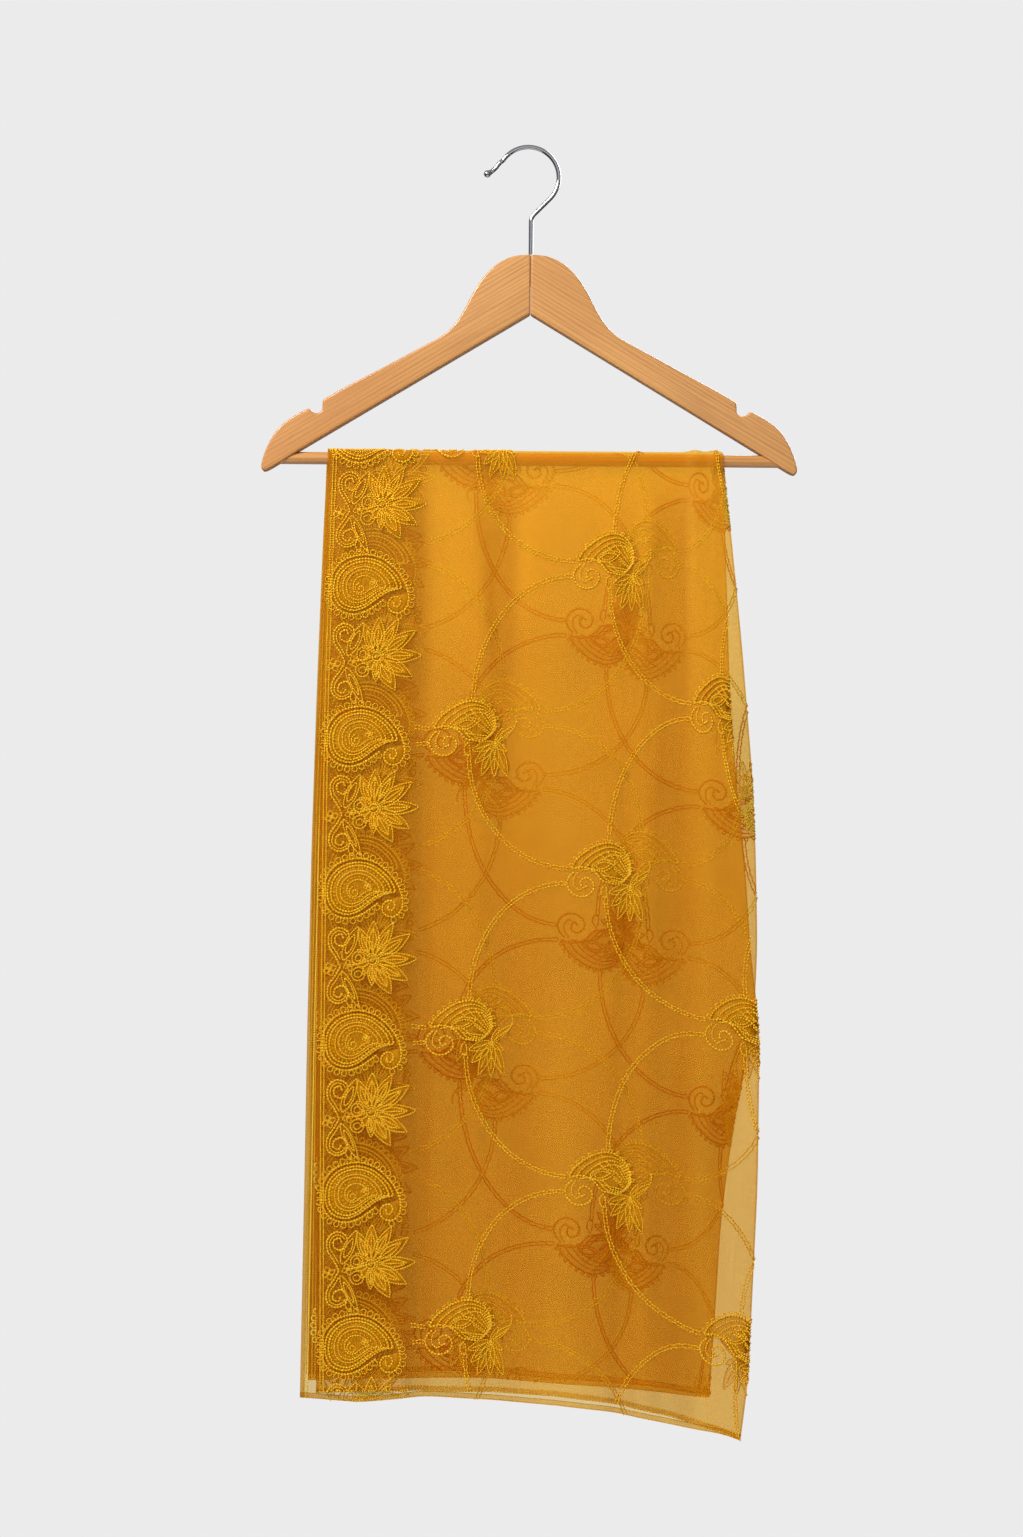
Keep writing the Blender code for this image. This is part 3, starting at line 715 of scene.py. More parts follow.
def field_motif():
    """A domed paisley with rows that fan out inside it, a scroll, a spray of leaves and a tendril."""
    dome = curve_through(DOME)
    made = []
    for line, shares in ((dome, DOME_SHARES), (curve_through(DOME_UNDER), UNDER_SHARES)):
        for row, share in enumerate(shares):
            made.append(line_stitches(towards(line, DOME_FOCUS, share), FINE if row else CHAIN, row))
    made.append(leaf(-27.0, 9.0, 14.0, 20.0, 4.2, 2))
    for right, up, end_right, end_up in DOME_RAYS:
        made.append(line_stitches(((right, up), (end_right, end_up)), FINE))
    made.append(scallops(dome, 5.2, 1.2))
    made.append(line_stitches(curve_through(FIELD_SCROLL)))
    made.append(line_stitches(curve_through(SCROLL_BACK), FINE))
    made += spray(LEAF_CENTRE, FIELD_LEAVES, 0.0, LOOP, 2.5, 0.25)
    made.append(line_stitches(curve_through(STEM_LOOP), FINE))
    made.append(line_stitches(curve_through(TENDRIL), FINE))
    return np.vstack(made)


# Lattice of the field: each column's p, first place below the bar, and repeat
FIELD_COLUMNS = (
    (24.0, 77.0, 248.0),
    (138.0, 229.0, 244.5),
    (252.0, 91.0, 250.0),
    (366.0, 201.0, 248.0),
    (466.0, 79.0, 248.0),
    (586.0, 211.0, 248.0),
    (708.0, 79.0, 248.0),
)
FIELD_REACH = 4  # repeats above and below the bar
MOTIF_COLUMNS = (1, 2, 3, 4, 5)
PAISLEY_TOP = (-13.8, 31.2)
SCROLL_UPPER = (-48.2, 7.4)
SCROLL_LOWER = (-49.3, -4.8)
STEM_END = (-16.4, -12.7)
MOTIF_SCALE = 1.06
CORD_WIDTH = 1.45  # half the distance between an arc's two rows
LINK_LENGTH = 7.2
BORDER_WIDTH = 78.0


def field_places():
    """Each column's places on the cloth, from the lowest q up."""
    return [
        [(p, QUARTER + first + repeat * k) for k in range(-FIELD_REACH, FIELD_REACH)]
        for p, first, repeat in FIELD_COLUMNS
    ]


def linked_rows(line):
    """Two rows of stitches that swing together and apart along a line, like a chain of long links."""
    length = lengths_along(line)
    tangent = np.gradient(line, axis=0)
    tangent /= np.linalg.norm(tangent, axis=1, keepdims=True)
    normal = np.stack([-tangent[:, 1], tangent[:, 0]], axis=-1)
    links = max(1, round(length[-1] / LINK_LENGTH))
    swing = np.abs(np.sin(math.pi * links * length / length[-1])) ** 0.5
    off = normal * (CORD_WIDTH * (0.35 + 0.65 * swing))[:, None]
    return np.vstack([line_stitches(line + off, CORD), line_stitches(line - off, CORD, 1)])


def quarter_arc(upright, level):
    """A quarter ellipse that starts upright at one end and arrives level at the other."""
    angle = np.linspace(0.0, math.pi / 2, 90)
    x = level[0] + (upright[0] - level[0]) * np.cos(angle)
    y = upright[1] + (level[1] - upright[1]) * np.sin(angle)
    return np.stack([x, y], axis=-1)


def field_arcs(columns):
    """The arcs from each place to its two neighbours in the next column."""
    made = []
    for places, neighbours in zip(columns, columns[1:]):
        for p, q in places:
            above = [place for place in neighbours if place[1] < q][-1:]
            below = [place for place in neighbours if place[1] > q][:1]
            ways = ((above, PAISLEY_TOP, SCROLL_LOWER), (below, STEM_END, SCROLL_UPPER))
            for nearest, start, end in ways:
                for end_p, end_q in nearest:
                    upright = (p + start[0], -q + start[1])
                    level = (end_p + end[0], -end_q + end[1])
                    made.append(linked_rows(quarter_arc(upright, level)))
    return np.vstack(made)


def field_stitches():
    """All stitches of the field, as p and -q, left out where the borders are."""
    motif = moved(field_motif(), scale=MOTIF_SCALE)
    columns = field_places()
    arcs = field_arcs(columns)
    clear = (arcs[:, 0] > BORDER_WIDTH) & (arcs[:, 0] < FLAT_WIDTH - BORDER_WIDTH - FAR_BORDER_INSET)
    made = [arcs[clear]]
    for column in MOTIF_COLUMNS:
        made += [moved(motif, p, -q) for p, q in columns[column]]
    return np.vstack(made)


BORDER_REPEAT = 124.0
BORDER_PAISLEY_P = 38.5
BORDER_PAISLEY_S = 106.0
FLOWER_OFFSET = (6.0, -57.0)
SCROLLS_OFFSET = (-19.8, -61.7)
EDGE_LINE_P = (3.4, 6.0)
FAR_BORDER_INSET = 8.0
FAR_BORDER_SHIFT = 22.0


def border_places(shift):
    """The paisleys' places along the outer free edge, from one hem to the other."""
    first = QUARTER + BORDER_PAISLEY_S - shift
    start = math.floor((Q_BACK - first) / BORDER_REPEAT)
    end = math.ceil((Q_FRONT - first) / BORDER_REPEAT)
    return [(BORDER_PAISLEY_P, first + BORDER_REPEAT * k) for k in range(start, end + 1)]


def border_stitches(inset=0.0, shift=0.0):
    """All stitches of a border along the outer free edge, as p and -q, moved in from the edge and up."""
    flower, scrolls = moved(border_flower(), *FLOWER_OFFSET), moved(border_scrolls(), *SCROLLS_OFFSET)
    unit = np.vstack([border_paisley(), flower, scrolls])
    made = [moved(unit, p + inset, -q) for p, q in border_places(shift)]
    for p in EDGE_LINE_P:
        made.append(line_stitches(((p, -Q_BACK), (p, -Q_FRONT)), FINE))
    return np.vstack(made)


def mirrored(stitches):
    """The same stitches along the other free edge."""
    new = stitches.copy()
    new[:, 0] = FLAT_WIDTH - stitches[:, 0]
    new[:, 2] = math.pi - stitches[:, 2]
    return new


def hem_stitches():
    """Two rows of small stitches along each end."""
    made = []
    for q, inward in ((Q_FRONT, -1), (Q_BACK, 1)):
        for distance in (0.7, HEM_WIDTH - 0.4):
            row = q + inward * distance
            made.append(line_stitches(((0.5, -row), (FLAT_WIDTH - 0.5, -row)), HEM))
    return np.vstack(made)


# Stitches go through the cloth: how far one stands up on the right side and on the wrong side, as shares of
# its height, and the lift of its middle off the cloth's, for the outer layers and for those inside the fold
OUTER_STITCH = (1.0, 0.62, 0.25)
INNER_STITCH = (0.6, 0.6, 0.0)
STITCH_MARGIN = 0.5  # kept clear along the cloth's edges
GROUND_MARGIN = 1.0
FILL_SIDES = 18
FILL_SHARES = (1.0, 0.5)
GROUND_LIFT = 0.08
GROUND_THICKNESS = 0.1
# How pale and open each layer's grounds are, 0 to 1: at 0 the ground is painted shade between the rows
GROUND_SHADE_TONES = {"front_outer": 0.0, "back_outer": 0.9, "front_inner": 1.0, "back_inner": 1.0}


def stitch_shape(above, below):
    """Corners of one stitch, as shares of its length, width and height, and its triangles."""
    sides = [(0.0, -0.5, 0.0), (0.0, 0.0, -below), (0.0, 0.5, 0.0), (0.0, 0.0, above)]
    corners = [(-0.5, 0.0, 0.0), *sides, (0.5, 0.0, 0.0)]
    faces = []
    for side in range(4):
        following = (side + 1) % 4
        faces += [(0, 1 + following, 1 + side), (5, 1 + side, 1 + following)]
    return np.array(corners), np.array(faces)


def repeated(faces, corners, count):
    """The faces of one shape, for this many joined copies of it."""
    shift = np.arange(count)[:, None, None] * corners
    return (faces[None, :, :] + shift).reshape(-1, 3)


def sew(name, stitches, kind, material):
    """One joined mesh of stitches."""
    above, below, lift = kind
    p, q = stitches[:, 0], -stitches[:, 1]
    keep = (q > Q_BACK + STITCH_MARGIN) & (q < Q_FRONT - STITCH_MARGIN)
    keep &= (p > STITCH_MARGIN) & (p < FLAT_WIDTH - STITCH_MARGIN)
    stitches = stitches[keep]
    place, along_p, along_q, out = cloth_frame(p[keep], q[keep])
    angle = stitches[:, 2][:, None]
    along = along_p * np.cos(angle) - along_q * np.sin(angle)
    across = np.cross(out, along)
    corners, faces = stitch_shape(above, below)
    points = (place + lift * out)[:, None, :]
    for axis, direction in enumerate((along, across, out)):
        reach = corners[None, :, axis, None] * stitches[:, 3 + axis, None, None]
        points = points + direction[:, None, :] * reach
    piece = mesh_from_arrays(name, points, repeated(faces, len(corners), len(stitches)), material)
    tone = np.random.default_rng(SEED).random(len(stitches))
    point_values(piece, "tone", np.repeat(tone, len(corners)))
    # the crest carries painted shade down each stitch's sides
    point_values(piece, "crest", np.tile(np.abs(corners[:, 2]), len(stitches)))
    return piece


def ring_fill(outline, focus):
    """Points that fill a closed line: rings of it drawn in to a point inside, the point last."""
    length = lengths_along(outline)
    ring = place_on(outline, length, np.arange(FILL_SIDES) / FILL_SIDES * length[-1]).T
    return np.vstack([*(towards(ring, focus, share) for share in FILL_SHARES), np.array([focus])])


def fill_faces():
    """Faces between a fill's rings, and from the last ring to its middle point."""
    side = np.arange(FILL_SIDES)
    following = (side + 1) % FILL_SIDES
    faces = []
    for ring in range(len(FILL_SHARES) - 1):
        outer, inner = ring * FILL_SIDES, (ring + 1) * FILL_SIDES
        faces.append(np.stack([outer + side, outer + following, inner + following], axis=-1))
        faces.append(np.stack([outer + side, inner + following, inner + side], axis=-1))
    last = (len(FILL_SHARES) - 1) * FILL_SIDES
    middle = np.full(FILL_SIDES, last + FILL_SIDES)
    faces.append(np.stack([last + side, last + following, middle], axis=-1))
    return np.vstack(faces)


def lay_grounds(name, fills, tone, material):
    """The dense ground of thread under each motif, dark with painted shade where its tone is low, one
    joined thin shell on the right side of the cloth.
    """
    p, q = fills[..., 0], -fills[..., 1]
    inside = (q.max(axis=1) < Q_FRONT - GROUND_MARGIN) & (q.min(axis=1) > Q_BACK + GROUND_MARGIN)
    inside &= (p.min(axis=1) > GROUND_MARGIN) & (p.max(axis=1) < FLAT_WIDTH - GROUND_MARGIN)
    place, _, _, out = cloth_frame(p[inside], q[inside])
    points = place + out * (CLOTH_THICKNESS / 2 + GROUND_LIFT)
    faces = repeated(fill_faces(), fills.shape[1], int(inside.sum()))
    piece = mesh_from_arrays(name, points, faces, material)
    point_values(piece, "tone", np.full(points.size // 3, tone))
    thicken(piece, GROUND_THICKNESS)
    return piece


def in_place(p, up, face, layer):
    """Which of these places are on this side of the bar and in this layer."""
    return ((up < 0.0) == (face == "front")) & ((p < FOLD_P) == (layer == "outer"))


def paisley_fills():
    """The grounds of a border paisley: its body, and its hook's small spiral."""
    spiral = curve_through(PAISLEY_HOOK[13:19], closed=True)
    return [ring_fill(curve_through(PAISLEY_BODY), PAISLEY_FOCUS), ring_fill(spiral, SPIRAL_FOCUS)]


def petal_fills(centre, petals, start=0.0):
    fills = []
    for direction, reach, half_width in petals:
        turn = math.radians(direction)
        outline = leaf_line(reach - start, half_width)
        x = outline[:, 0] + start
        right = centre[0] + x * math.cos(turn) - outline[:, 1] * math.sin(turn)
        up = centre[1] + x * math.sin(turn) + outline[:, 1] * math.cos(turn)
        middle = (reach + start) / 2
        focus = (centre[0] + middle * math.cos(turn), centre[1] + middle * math.sin(turn))
        fills.append(ring_fill(np.stack([right, up], axis=-1), focus))
    return fills


def border_fills(inset=0.0, shift=0.0):
    unit = np.array(paisley_fills() + petal_fills(FLOWER_OFFSET, BORDER_PETALS, PETAL_START))
    return np.vstack([unit + np.array((p + inset, -q)) for p, q in border_places(shift)])


def field_fills():
    dome = np.vstack([curve_through(DOME), curve_through(DOME_UNDER)[::-1]])
    unit = np.array([ring_fill(dome, DOME_MIDDLE), *petal_fills(LEAF_CENTRE, FIELD_LEAVES)]) * MOTIF_SCALE
    columns = field_places()
    places = [(p, -q) for column in MOTIF_COLUMNS for p, q in columns[column]]
    return np.vstack([unit + np.array(place) for place in places])


def build_embroidery(threads, ground):
    """The rows of stitches and the grounds of the motifs, in pieces by layer and side of the bar."""
    far = (FAR_BORDER_INSET, FAR_BORDER_SHIFT)
    borders = {"outer": border_stitches(), "inner": mirrored(border_stitches(*far))}
    field = np.vstack([field_stitches(), hem_stitches()])
    far_fills = border_fills(*far)
    far_fills[..., 0] = FLAT_WIDTH - far_fills[..., 0]
    fills = np.vstack([border_fills(), far_fills, field_fills()])
    made = []
    for face in ("front", "back"):
        for layer, stitch in (("outer", OUTER_STITCH), ("inner", INNER_STITCH)):
            place = f"{face}_{layer}"
            for kind, stitches in (("border", borders[layer]), ("field", field)):
                chosen = stitches[in_place(stitches[:, 0], stitches[:, 1], face, layer)]
                made.append(sew(f"{kind}_{place}", chosen, stitch, threads[place]))
    for place, tone in GROUND_SHADE_TONES.items():
        chosen = fills[in_place(fills[:, -1, 0], fills[:, -1, 1], *place.split("_"))]
        made.append(lay_grounds(f"ground_{place}", chosen, tone, ground))
    return made


def arc(centre, radius, start, end, steps):
    """Points of an arc in the x-z plane, its angles in degrees."""
    angles = np.radians(np.linspace(start, end, steps + 1))
    return np.stack([centre[0] + radius * np.cos(angles), centre[1] + radius * np.sin(angles)], axis=-1)


def arm_outline():
    """One arm from the front, as distance out from the hanger's axis and height."""
    crown = curve_through(ARM_CROWN, steps=6)
    notch = arc((NOTCH_OUT, NOTCH_Z), NOTCH_RADIUS, 168.0, 332.0, 14)
    end = curve_through(ARM_END, steps=6)
    return np.vstack([crown, notch, end, np.array([ARM_CROTCH])])


def cutter_rod(radius, length, z, turn):
    """A rod on the hanger's axis at this height, turned by the angle in degrees about Y."""
    bpy.ops.mesh.primitive_cylinder_add(vertices=48, radius=radius * MM, depth=length * MM)
    rod = bpy.context.object
    rod.location = Vector((HANGER_AXIS_X, 0.0, z)) * MM
    rod.rotation_euler = (0.0, math.radians(turn), 0.0)
    return rod


def applied(obj):
    """The object with its modifiers applied."""
    graph = bpy.context.evaluated_depsgraph_get()
    mesh = bpy.data.meshes.new_from_object(obj.evaluated_get(graph))
    obj.modifiers.clear()
    obj.data = mesh
    return obj


def object_from(name, shape):
    """An object of this bmesh, which is freed."""
    bmesh.ops.recalc_face_normals(shape, faces=shape.faces)
    mesh = bpy.data.meshes.new(name)
    shape.to_mesh(mesh)
    shape.free()
    obj = bpy.data.objects.new(name, mesh)
    LOOKS.objects.link(obj)
    return obj


def surface(obj, material, sharp):
    """Gives the object one material, and smooth faces but for edges sharper than the angle in degrees."""
    obj.data.materials.clear()
    obj.data.materials.append(material)
    obj.data.shade_smooth()
    obj.data.set_sharp_from_angle(angle=math.radians(sharp))


def grain_coordinates(obj, side, slope):
    """Stores each point's place along and across the grain, in metres."""
    points = np.array([vert.co[:] for vert in obj.data.vertices], dtype=np.float32)
    turn = math.radians(slope)
    out = side * (points[:, 0] - HANGER_AXIS_X * MM)
    along = out * math.cos(turn) - points[:, 2] * math.sin(turn)
    across = out * math.sin(turn) + points[:, 2] * math.cos(turn)
    grain = np.stack([along + GRAIN_SHIFT * side, across, points[:, 1]], axis=-1)
    attribute = obj.data.attributes.new("grain", "FLOAT_VECTOR", "POINT")
    attribute.data.foreach_set("vector", grain.astype(np.float32).ravel())


def build_arm(name, side, cutters, material):
    """One arm, -1 for the left: an outline drawn out, its edges rounded, bored for the stem and the bar."""
    shape = bmesh.new()
    face = shape.faces.new(
        shape.verts.new(Vector((HANGER_AXIS_X + side * out, ARM_THICKNESS / 2, z)) * MM)
        for out, z in arm_outline()[::side]
    )
    drawn = bmesh.ops.extrude_face_region(shape, geom=[face])
    verts = [item for item in drawn["geom"] if isinstance(item, bmesh.types.BMVert)]
    bmesh.ops.translate(shape, verts=verts, vec=(0.0, -ARM_THICKNESS * MM, 0.0))
    arm = object_from(name, shape)
    rounding = arm.modifiers.new("Rounded edges", "BEVEL")
    rounding.width = ARM_EDGE_ROUND * MM
    rounding.segments = 6
    rounding.limit_method = "ANGLE"
    rounding.angle_limit = math.radians(50.0)
    for cutter in cutters:
        cut = arm.modifiers.new("Bore", "BOOLEAN")
        cut.object = cutter
        cut.operation = "DIFFERENCE"
        cut.solver = "EXACT"
    surface(applied(arm), material, 38.0)
    grain_coordinates(arm, side, GRAIN_SLOPE)
    return arm


def tube(name, stations, sides, material):
    """A round tube through stations in the x-z plane: x, z and radius, closed at both ends."""
    stations = np.array(stations)
    none = np.zeros(len(stations))
    tangent = np.gradient(stations[:, :2], axis=0)
    tangent /= np.linalg.norm(tangent, axis=1, keepdims=True)
    normal = np.stack([-tangent[:, 1], none, tangent[:, 0]], axis=-1)
    centre = np.stack([stations[:, 0], none, stations[:, 1]], axis=-1)
    angles = 2 * math.pi * np.arange(sides) / sides
    ring = normal[:, None, :] * np.cos(angles)[None, :, None]
    ring = ring + np.array([0.0, 1.0, 0.0]) * np.sin(angles)[None, :, None]
    points = centre[:, None, :] + ring * stations[:, 2][:, None, None]
    work = bmesh.new()
    rows = [[work.verts.new(Vector(point) * MM) for point in row] for row in points]
    for row, following in zip(rows, rows[1:]):
        for side in range(sides):
            other = (side + 1) % sides
            work.faces.new((row[side], row[other], following[other], following[side]))
    for cap in (rows[0], rows[-1]):
        work.faces.new(cap)
    obj = object_from(name, work)
    surface(obj, material, 50.0)
    return obj


def hook_stations():
    """The wire from its ball end round the hook and down into the wood."""
    ring = arc((0.0, WIRE_RADIUS - HOOK_RADIUS), HOOK_RADIUS, HOOK_ARC_START, HOOK_ARC_END, 64)
    tip = curve_through([*HOOK_TIP, tuple(ring[0])], steps=6)[:-1]
    start = np.array(BALL_CENTRE)
    direction = np.array(HOOK_TIP[0]) - start
    direction /= np.linalg.norm(direction)
    stations = []
    for share in np.sin(np.radians(np.linspace(-88.0, 42.0, 14))):
        place = start + direction * BALL_RADIUS * share
        stations.append((*place, BALL_RADIUS * math.sqrt(1 - share**2)))
    slope_x, slope_z = ring[-1]
    corner_z = slope_z - (slope_x - HANGER_AXIS_X)
    tangent = NECK_RADIUS * math.tan(math.radians(22.5))
    neck = arc((HANGER_AXIS_X + NECK_RADIUS, corner_z - tangent), NECK_RADIUS, 135.0, 180.0, 10)
    route = np.vstack([tip, ring, neck, np.array([(HANGER_AXIS_X, STEM_BOTTOM_Z)])])
    return stations + [(x, z, WIRE_RADIUS) for x, z in route]


def build_hanger(wood, chrome):
    cutters = (
        cutter_rod(WIRE_RADIUS + GAP, BORE_LENGTH, STEM_BOTTOM_Z - GAP + BORE_LENGTH / 2, 0.0),
        cutter_rod(BAR_RADIUS + GAP, 2 * (BAR_END_OUT + GAP), BAR_Z, 90.0),
    )
    arm_left = build_arm("wood_arm_left", -1, cutters, wood)
    arm_right = build_arm("wood_arm_right", 1, cutters, wood)
    for cutter in cutters:
        bpy.data.objects.remove(cutter)
    bar_x = HANGER_AXIS_X + np.linspace(-BAR_END_OUT, BAR_END_OUT, 40)
    bar = tube("wood_bar", [(x, BAR_Z, BAR_RADIUS) for x in bar_x], 48, wood)
    grain_coordinates(bar, 1, 0.0)
    return arm_left, arm_right, bar, tube("wire_hook", hook_stations(), 28, chrome)


class Nodes:
    """A node tree, with short calls to add and join its nodes."""

    def __init__(self, tree):
        self.tree = tree
        tree.nodes.clear()

    def add(self, kind, output=0, inputs=None, **settings):
        """A new node's output, its inputs set to values or joined to other nodes' outputs."""
        node = self.tree.nodes.new("ShaderNode" + kind)
        for key, value in settings.items():
            setattr(node, key, value)
        for key, value in (inputs or {}).items():
            if isinstance(value, bpy.types.NodeSocket):
                self.tree.links.new(value, node.inputs[key])
            else:
                node.inputs[key].default_value = value
        return node.outputs[output] if node.outputs else None

    def value(self, name, output="Fac"):
        """What a mesh stores under this name."""
        return self.add("Attribute", output, attribute_name=name)

    def scaled(self, vector, scale):
        return self.add("Mapping", "Vector", {"Vector": vector, "Scale": scale})

    def noise(self, vector, scale=1.0, detail=2.0, roughness=0.5, dimensions="3D"):
        inputs = {"Vector": vector, "Scale": scale, "Detail": detail, "Roughness": roughness}
        return self.add("TexNoise", "Fac", inputs, noise_dimensions=dimensions)

    def wave(self, vector, scale, direction, distortion=0.0, detail=0.0):
        inputs = {"Vector": vector, "Scale": scale, "Distortion": distortion, "Detail": detail}
        return self.add("TexWave", "Fac", inputs, wave_type="BANDS", bands_direction=direction)

    def math(self, operation, *values):
        return self.add("Math", 0, dict(enumerate(values)), operation=operation)

    def between(self, value, low, high, to_low=0.0, to_high=1.0):
        inputs = {"Value": value, "From Min": low, "From Max": high, "To Min": to_low, "To Max": to_high}
        return self.add("MapRange", "Result", inputs)

    def mixed(self, share, first, second):
        """One colour mixed into another by a share."""
        first, second = ((*c, 1.0) if isinstance(c, tuple) else c for c in (first, second))
        return self.add("Mix", 2, {0: share, 6: first, 7: second}, data_type="RGBA")

    def bump(self, height, strength, distance):
        return self.add("Bump", 0, {"Height": height, "Strength": strength, "Distance": distance})

    def principled(self, **values):
        inputs = {key.replace("_", " "): value for key, value in values.items()}
        return self.add("BsdfPrincipled", 0, inputs)

    def mix_shaders(self, share, first, second):
        return self.add("MixShader", 0, {0: share, 1: first, 2: second})


ORGANZA_PALE = (0.86, 0.46, 0.016)
ORGANZA_DEEP = (0.76, 0.37, 0.006)
ORGANZA_PAINTED_LIGHT_TOP = (0.95, 0.60, 0.06)  # paler near the bar: painted light on the upper cloth
ORGANZA_PAINTED_SHADE_LOW = (0.62, 0.235, 0.0)  # and deeper towards the hems: painted shade on the lower cloth
# painted shade in the folds' hollows and painted light on their crests, by the cloth's relief
ORGANZA_PAINTED_SHADE_HOLLOW = (0.56, 0.22, 0.001)
ORGANZA_PAINTED_LIGHT_CREST = (0.95, 0.56, 0.04)
ORGANZA_BORDER_PAINTED_SHADE = (0.62, 0.26, 0.002)
ORGANZA_COVER = 0.165  # how much of the light each face of the cloth stops
CROWDED_COVER = 0.13  # and how much more where the cloth stands steeply, at a fold or a crease
THREAD_COUNT = 2600.0  # threads to a metre
BORDER_END = (0.068, 0.084)  # metres from the outer edge, where the border band ends, with its painted shade and denser cover
FAR_BORDER_START = (0.632, 0.648)


def new_material(name, look, *settings):
    """A material with the surface that a look builds from nodes."""
    material = bpy.data.materials.new(name)
    material.use_nodes = True
    nodes = Nodes(material.node_tree)
    nodes.add("OutputMaterial", inputs={"Surface": look(nodes, *settings)})
    return material


def organza_look(nodes):
    """Sheer plain weave: thicker and thinner threads both ways, open between them."""
    uv = nodes.add("UVMap", "UV", uv_map="cloth")
    warp = nodes.noise(nodes.scaled(uv, (1300.0, 18.0, 1.0)), detail=0.0, dimensions="2D")
    weft = nodes.noise(nodes.scaled(uv, (18.0, 1300.0, 1.0)), detail=0.0, dimensions="2D")
    slubs = nodes.math("ADD", nodes.math("MULTIPLY", warp, 0.5), nodes.math("MULTIPLY", weft, 0.5))
    patches = nodes.noise(uv, scale=14.0, detail=0.0, dimensions="2D")
    weave_x = nodes.wave(uv, THREAD_COUNT * math.pi / 10, "X")
    weave_y = nodes.wave(uv, THREAD_COUNT * math.pi / 10, "Y")
    weave = nodes.math("MAXIMUM", weave_x, weave_y)
    across = nodes.add("SeparateXYZ", "X", {"Vector": uv})
    from_bar = nodes.math("ABSOLUTE", nodes.add("SeparateXYZ", "Y", {"Vector": uv}))
    near = nodes.between(across, *BORDER_END, 1.0, 0.0)
    far = nodes.between(across, *FAR_BORDER_START)
    border = nodes.math("MAXIMUM", near, far)
    height = nodes.value("relief")

    colour = nodes.mixed(nodes.between(patches, 0.35, 0.65), ORGANZA_DEEP, ORGANZA_PALE)
    colour = nodes.mixed(nodes.between(slubs, 0.4, 0.6, 0.0, 0.15), colour, ORGANZA_PALE)
    # painted light near the bar and painted shade towards the hems, by distance from the bar
    colour = nodes.mixed(nodes.between(from_bar, 0.0, 0.34, 0.8, 0.0), colour, ORGANZA_PAINTED_LIGHT_TOP)
    colour = nodes.mixed(nodes.between(from_bar, 0.1, 0.6, 0.0, 0.95), colour, ORGANZA_PAINTED_SHADE_LOW)
    # painted shade along the border bands, as among dense embroidery
    colour = nodes.mixed(nodes.math("MULTIPLY", border, 0.5), colour, ORGANZA_BORDER_PAINTED_SHADE)
    # painted shade in the hollows of the folds, painted light on their crests
    colour = nodes.mixed(nodes.between(height, 0.5, 0.05, 0.0, 0.75), colour, ORGANZA_PAINTED_SHADE_HOLLOW)
    colour = nodes.mixed(nodes.between(height, 0.5, 0.95, 0.0, 0.6), colour, ORGANZA_PAINTED_LIGHT_CREST)

    cover = nodes.between(slubs, 0.3, 0.7, ORGANZA_COVER - 0.015, ORGANZA_COVER + 0.015)
    for share, more in ((weave, 0.008), (border, 0.06), (nodes.value("crowd"), CROWDED_COVER)):
        cover = nodes.math("MULTIPLY_ADD", share, more, cover)

    normal = nodes.bump(weave, 0.04, 0.0001)
    fibre = nodes.principled(Base_Color=colour, Roughness=0.58, Specular_IOR_Level=0.25, Normal=normal)
    through = nodes.add("BsdfTranslucent", 0, {"Color": colour})
    clear = nodes.add("BsdfTransparent", 0, {"Color": (1.0, 0.94, 0.70, 1.0)})
    return nodes.mix_shaders(cover, clear, nodes.mix_shaders(0.5, fibre, through))


THREAD_DEEP = (0.96, 0.42, 0.003)
THREAD_PALE = (1.0, 0.61, 0.018)
THREAD_PAINTED_SHADE = (0.66, 0.26, 0.0)
THREAD_PAINTED_LIGHT = (1.0, 0.76, 0.08)
THREADS = {
    # layer: share of the light that goes through its thread, share of the lighter colour, painted light on
    # threads seen through other layers
    "front_outer": (0.12, 0.0),
    "back_outer": (0.24, 0.3),
    "front_inner": (0.15, 1.0),
    "back_inner": (0.15, 1.0),
}


def thread_look(nodes, glow, lighter):
    """Silky twisted thread, each stitch a little lighter or darker."""
    place = nodes.add("TexCoord", "Object")
    twist = nodes.noise(place, scale=1500.0, detail=2.0, roughness=0.6)
    mix = nodes.math("MULTIPLY_ADD", twist, 0.5, nodes.math("MULTIPLY", nodes.value("tone"), 0.7))
    colour = nodes.mixed(nodes.between(mix, 0.2, 0.9), THREAD_DEEP, THREAD_PALE)
    # painted shade on each stitch's sides, darkest where they meet the cloth
    colour = nodes.mixed(nodes.between(nodes.value("crest"), 0.0, 0.18), THREAD_PAINTED_SHADE, colour)
    # painted light: a paler colour for the threads seen through other layers
    colour = nodes.mixed(lighter, colour, THREAD_PAINTED_LIGHT)
    thread = nodes.principled(
        Base_Color=colour,
        Roughness=nodes.between(twist, 0.3, 0.7, 0.24, 0.40),
        Specular_IOR_Level=0.8,
        Specular_Tint=(1.0, 0.84, 0.38, 1.0),
        Normal=nodes.bump(twist, 0.35, 0.0002),
    )
    return nodes.mix_shaders(glow, thread, nodes.add("BsdfTranslucent", 0, {"Color": colour}))


GROUND_PAINTED_SHADE = (0.62, 0.24, 0.001)
GROUND_PALE = (0.90, 0.46, 0.010)


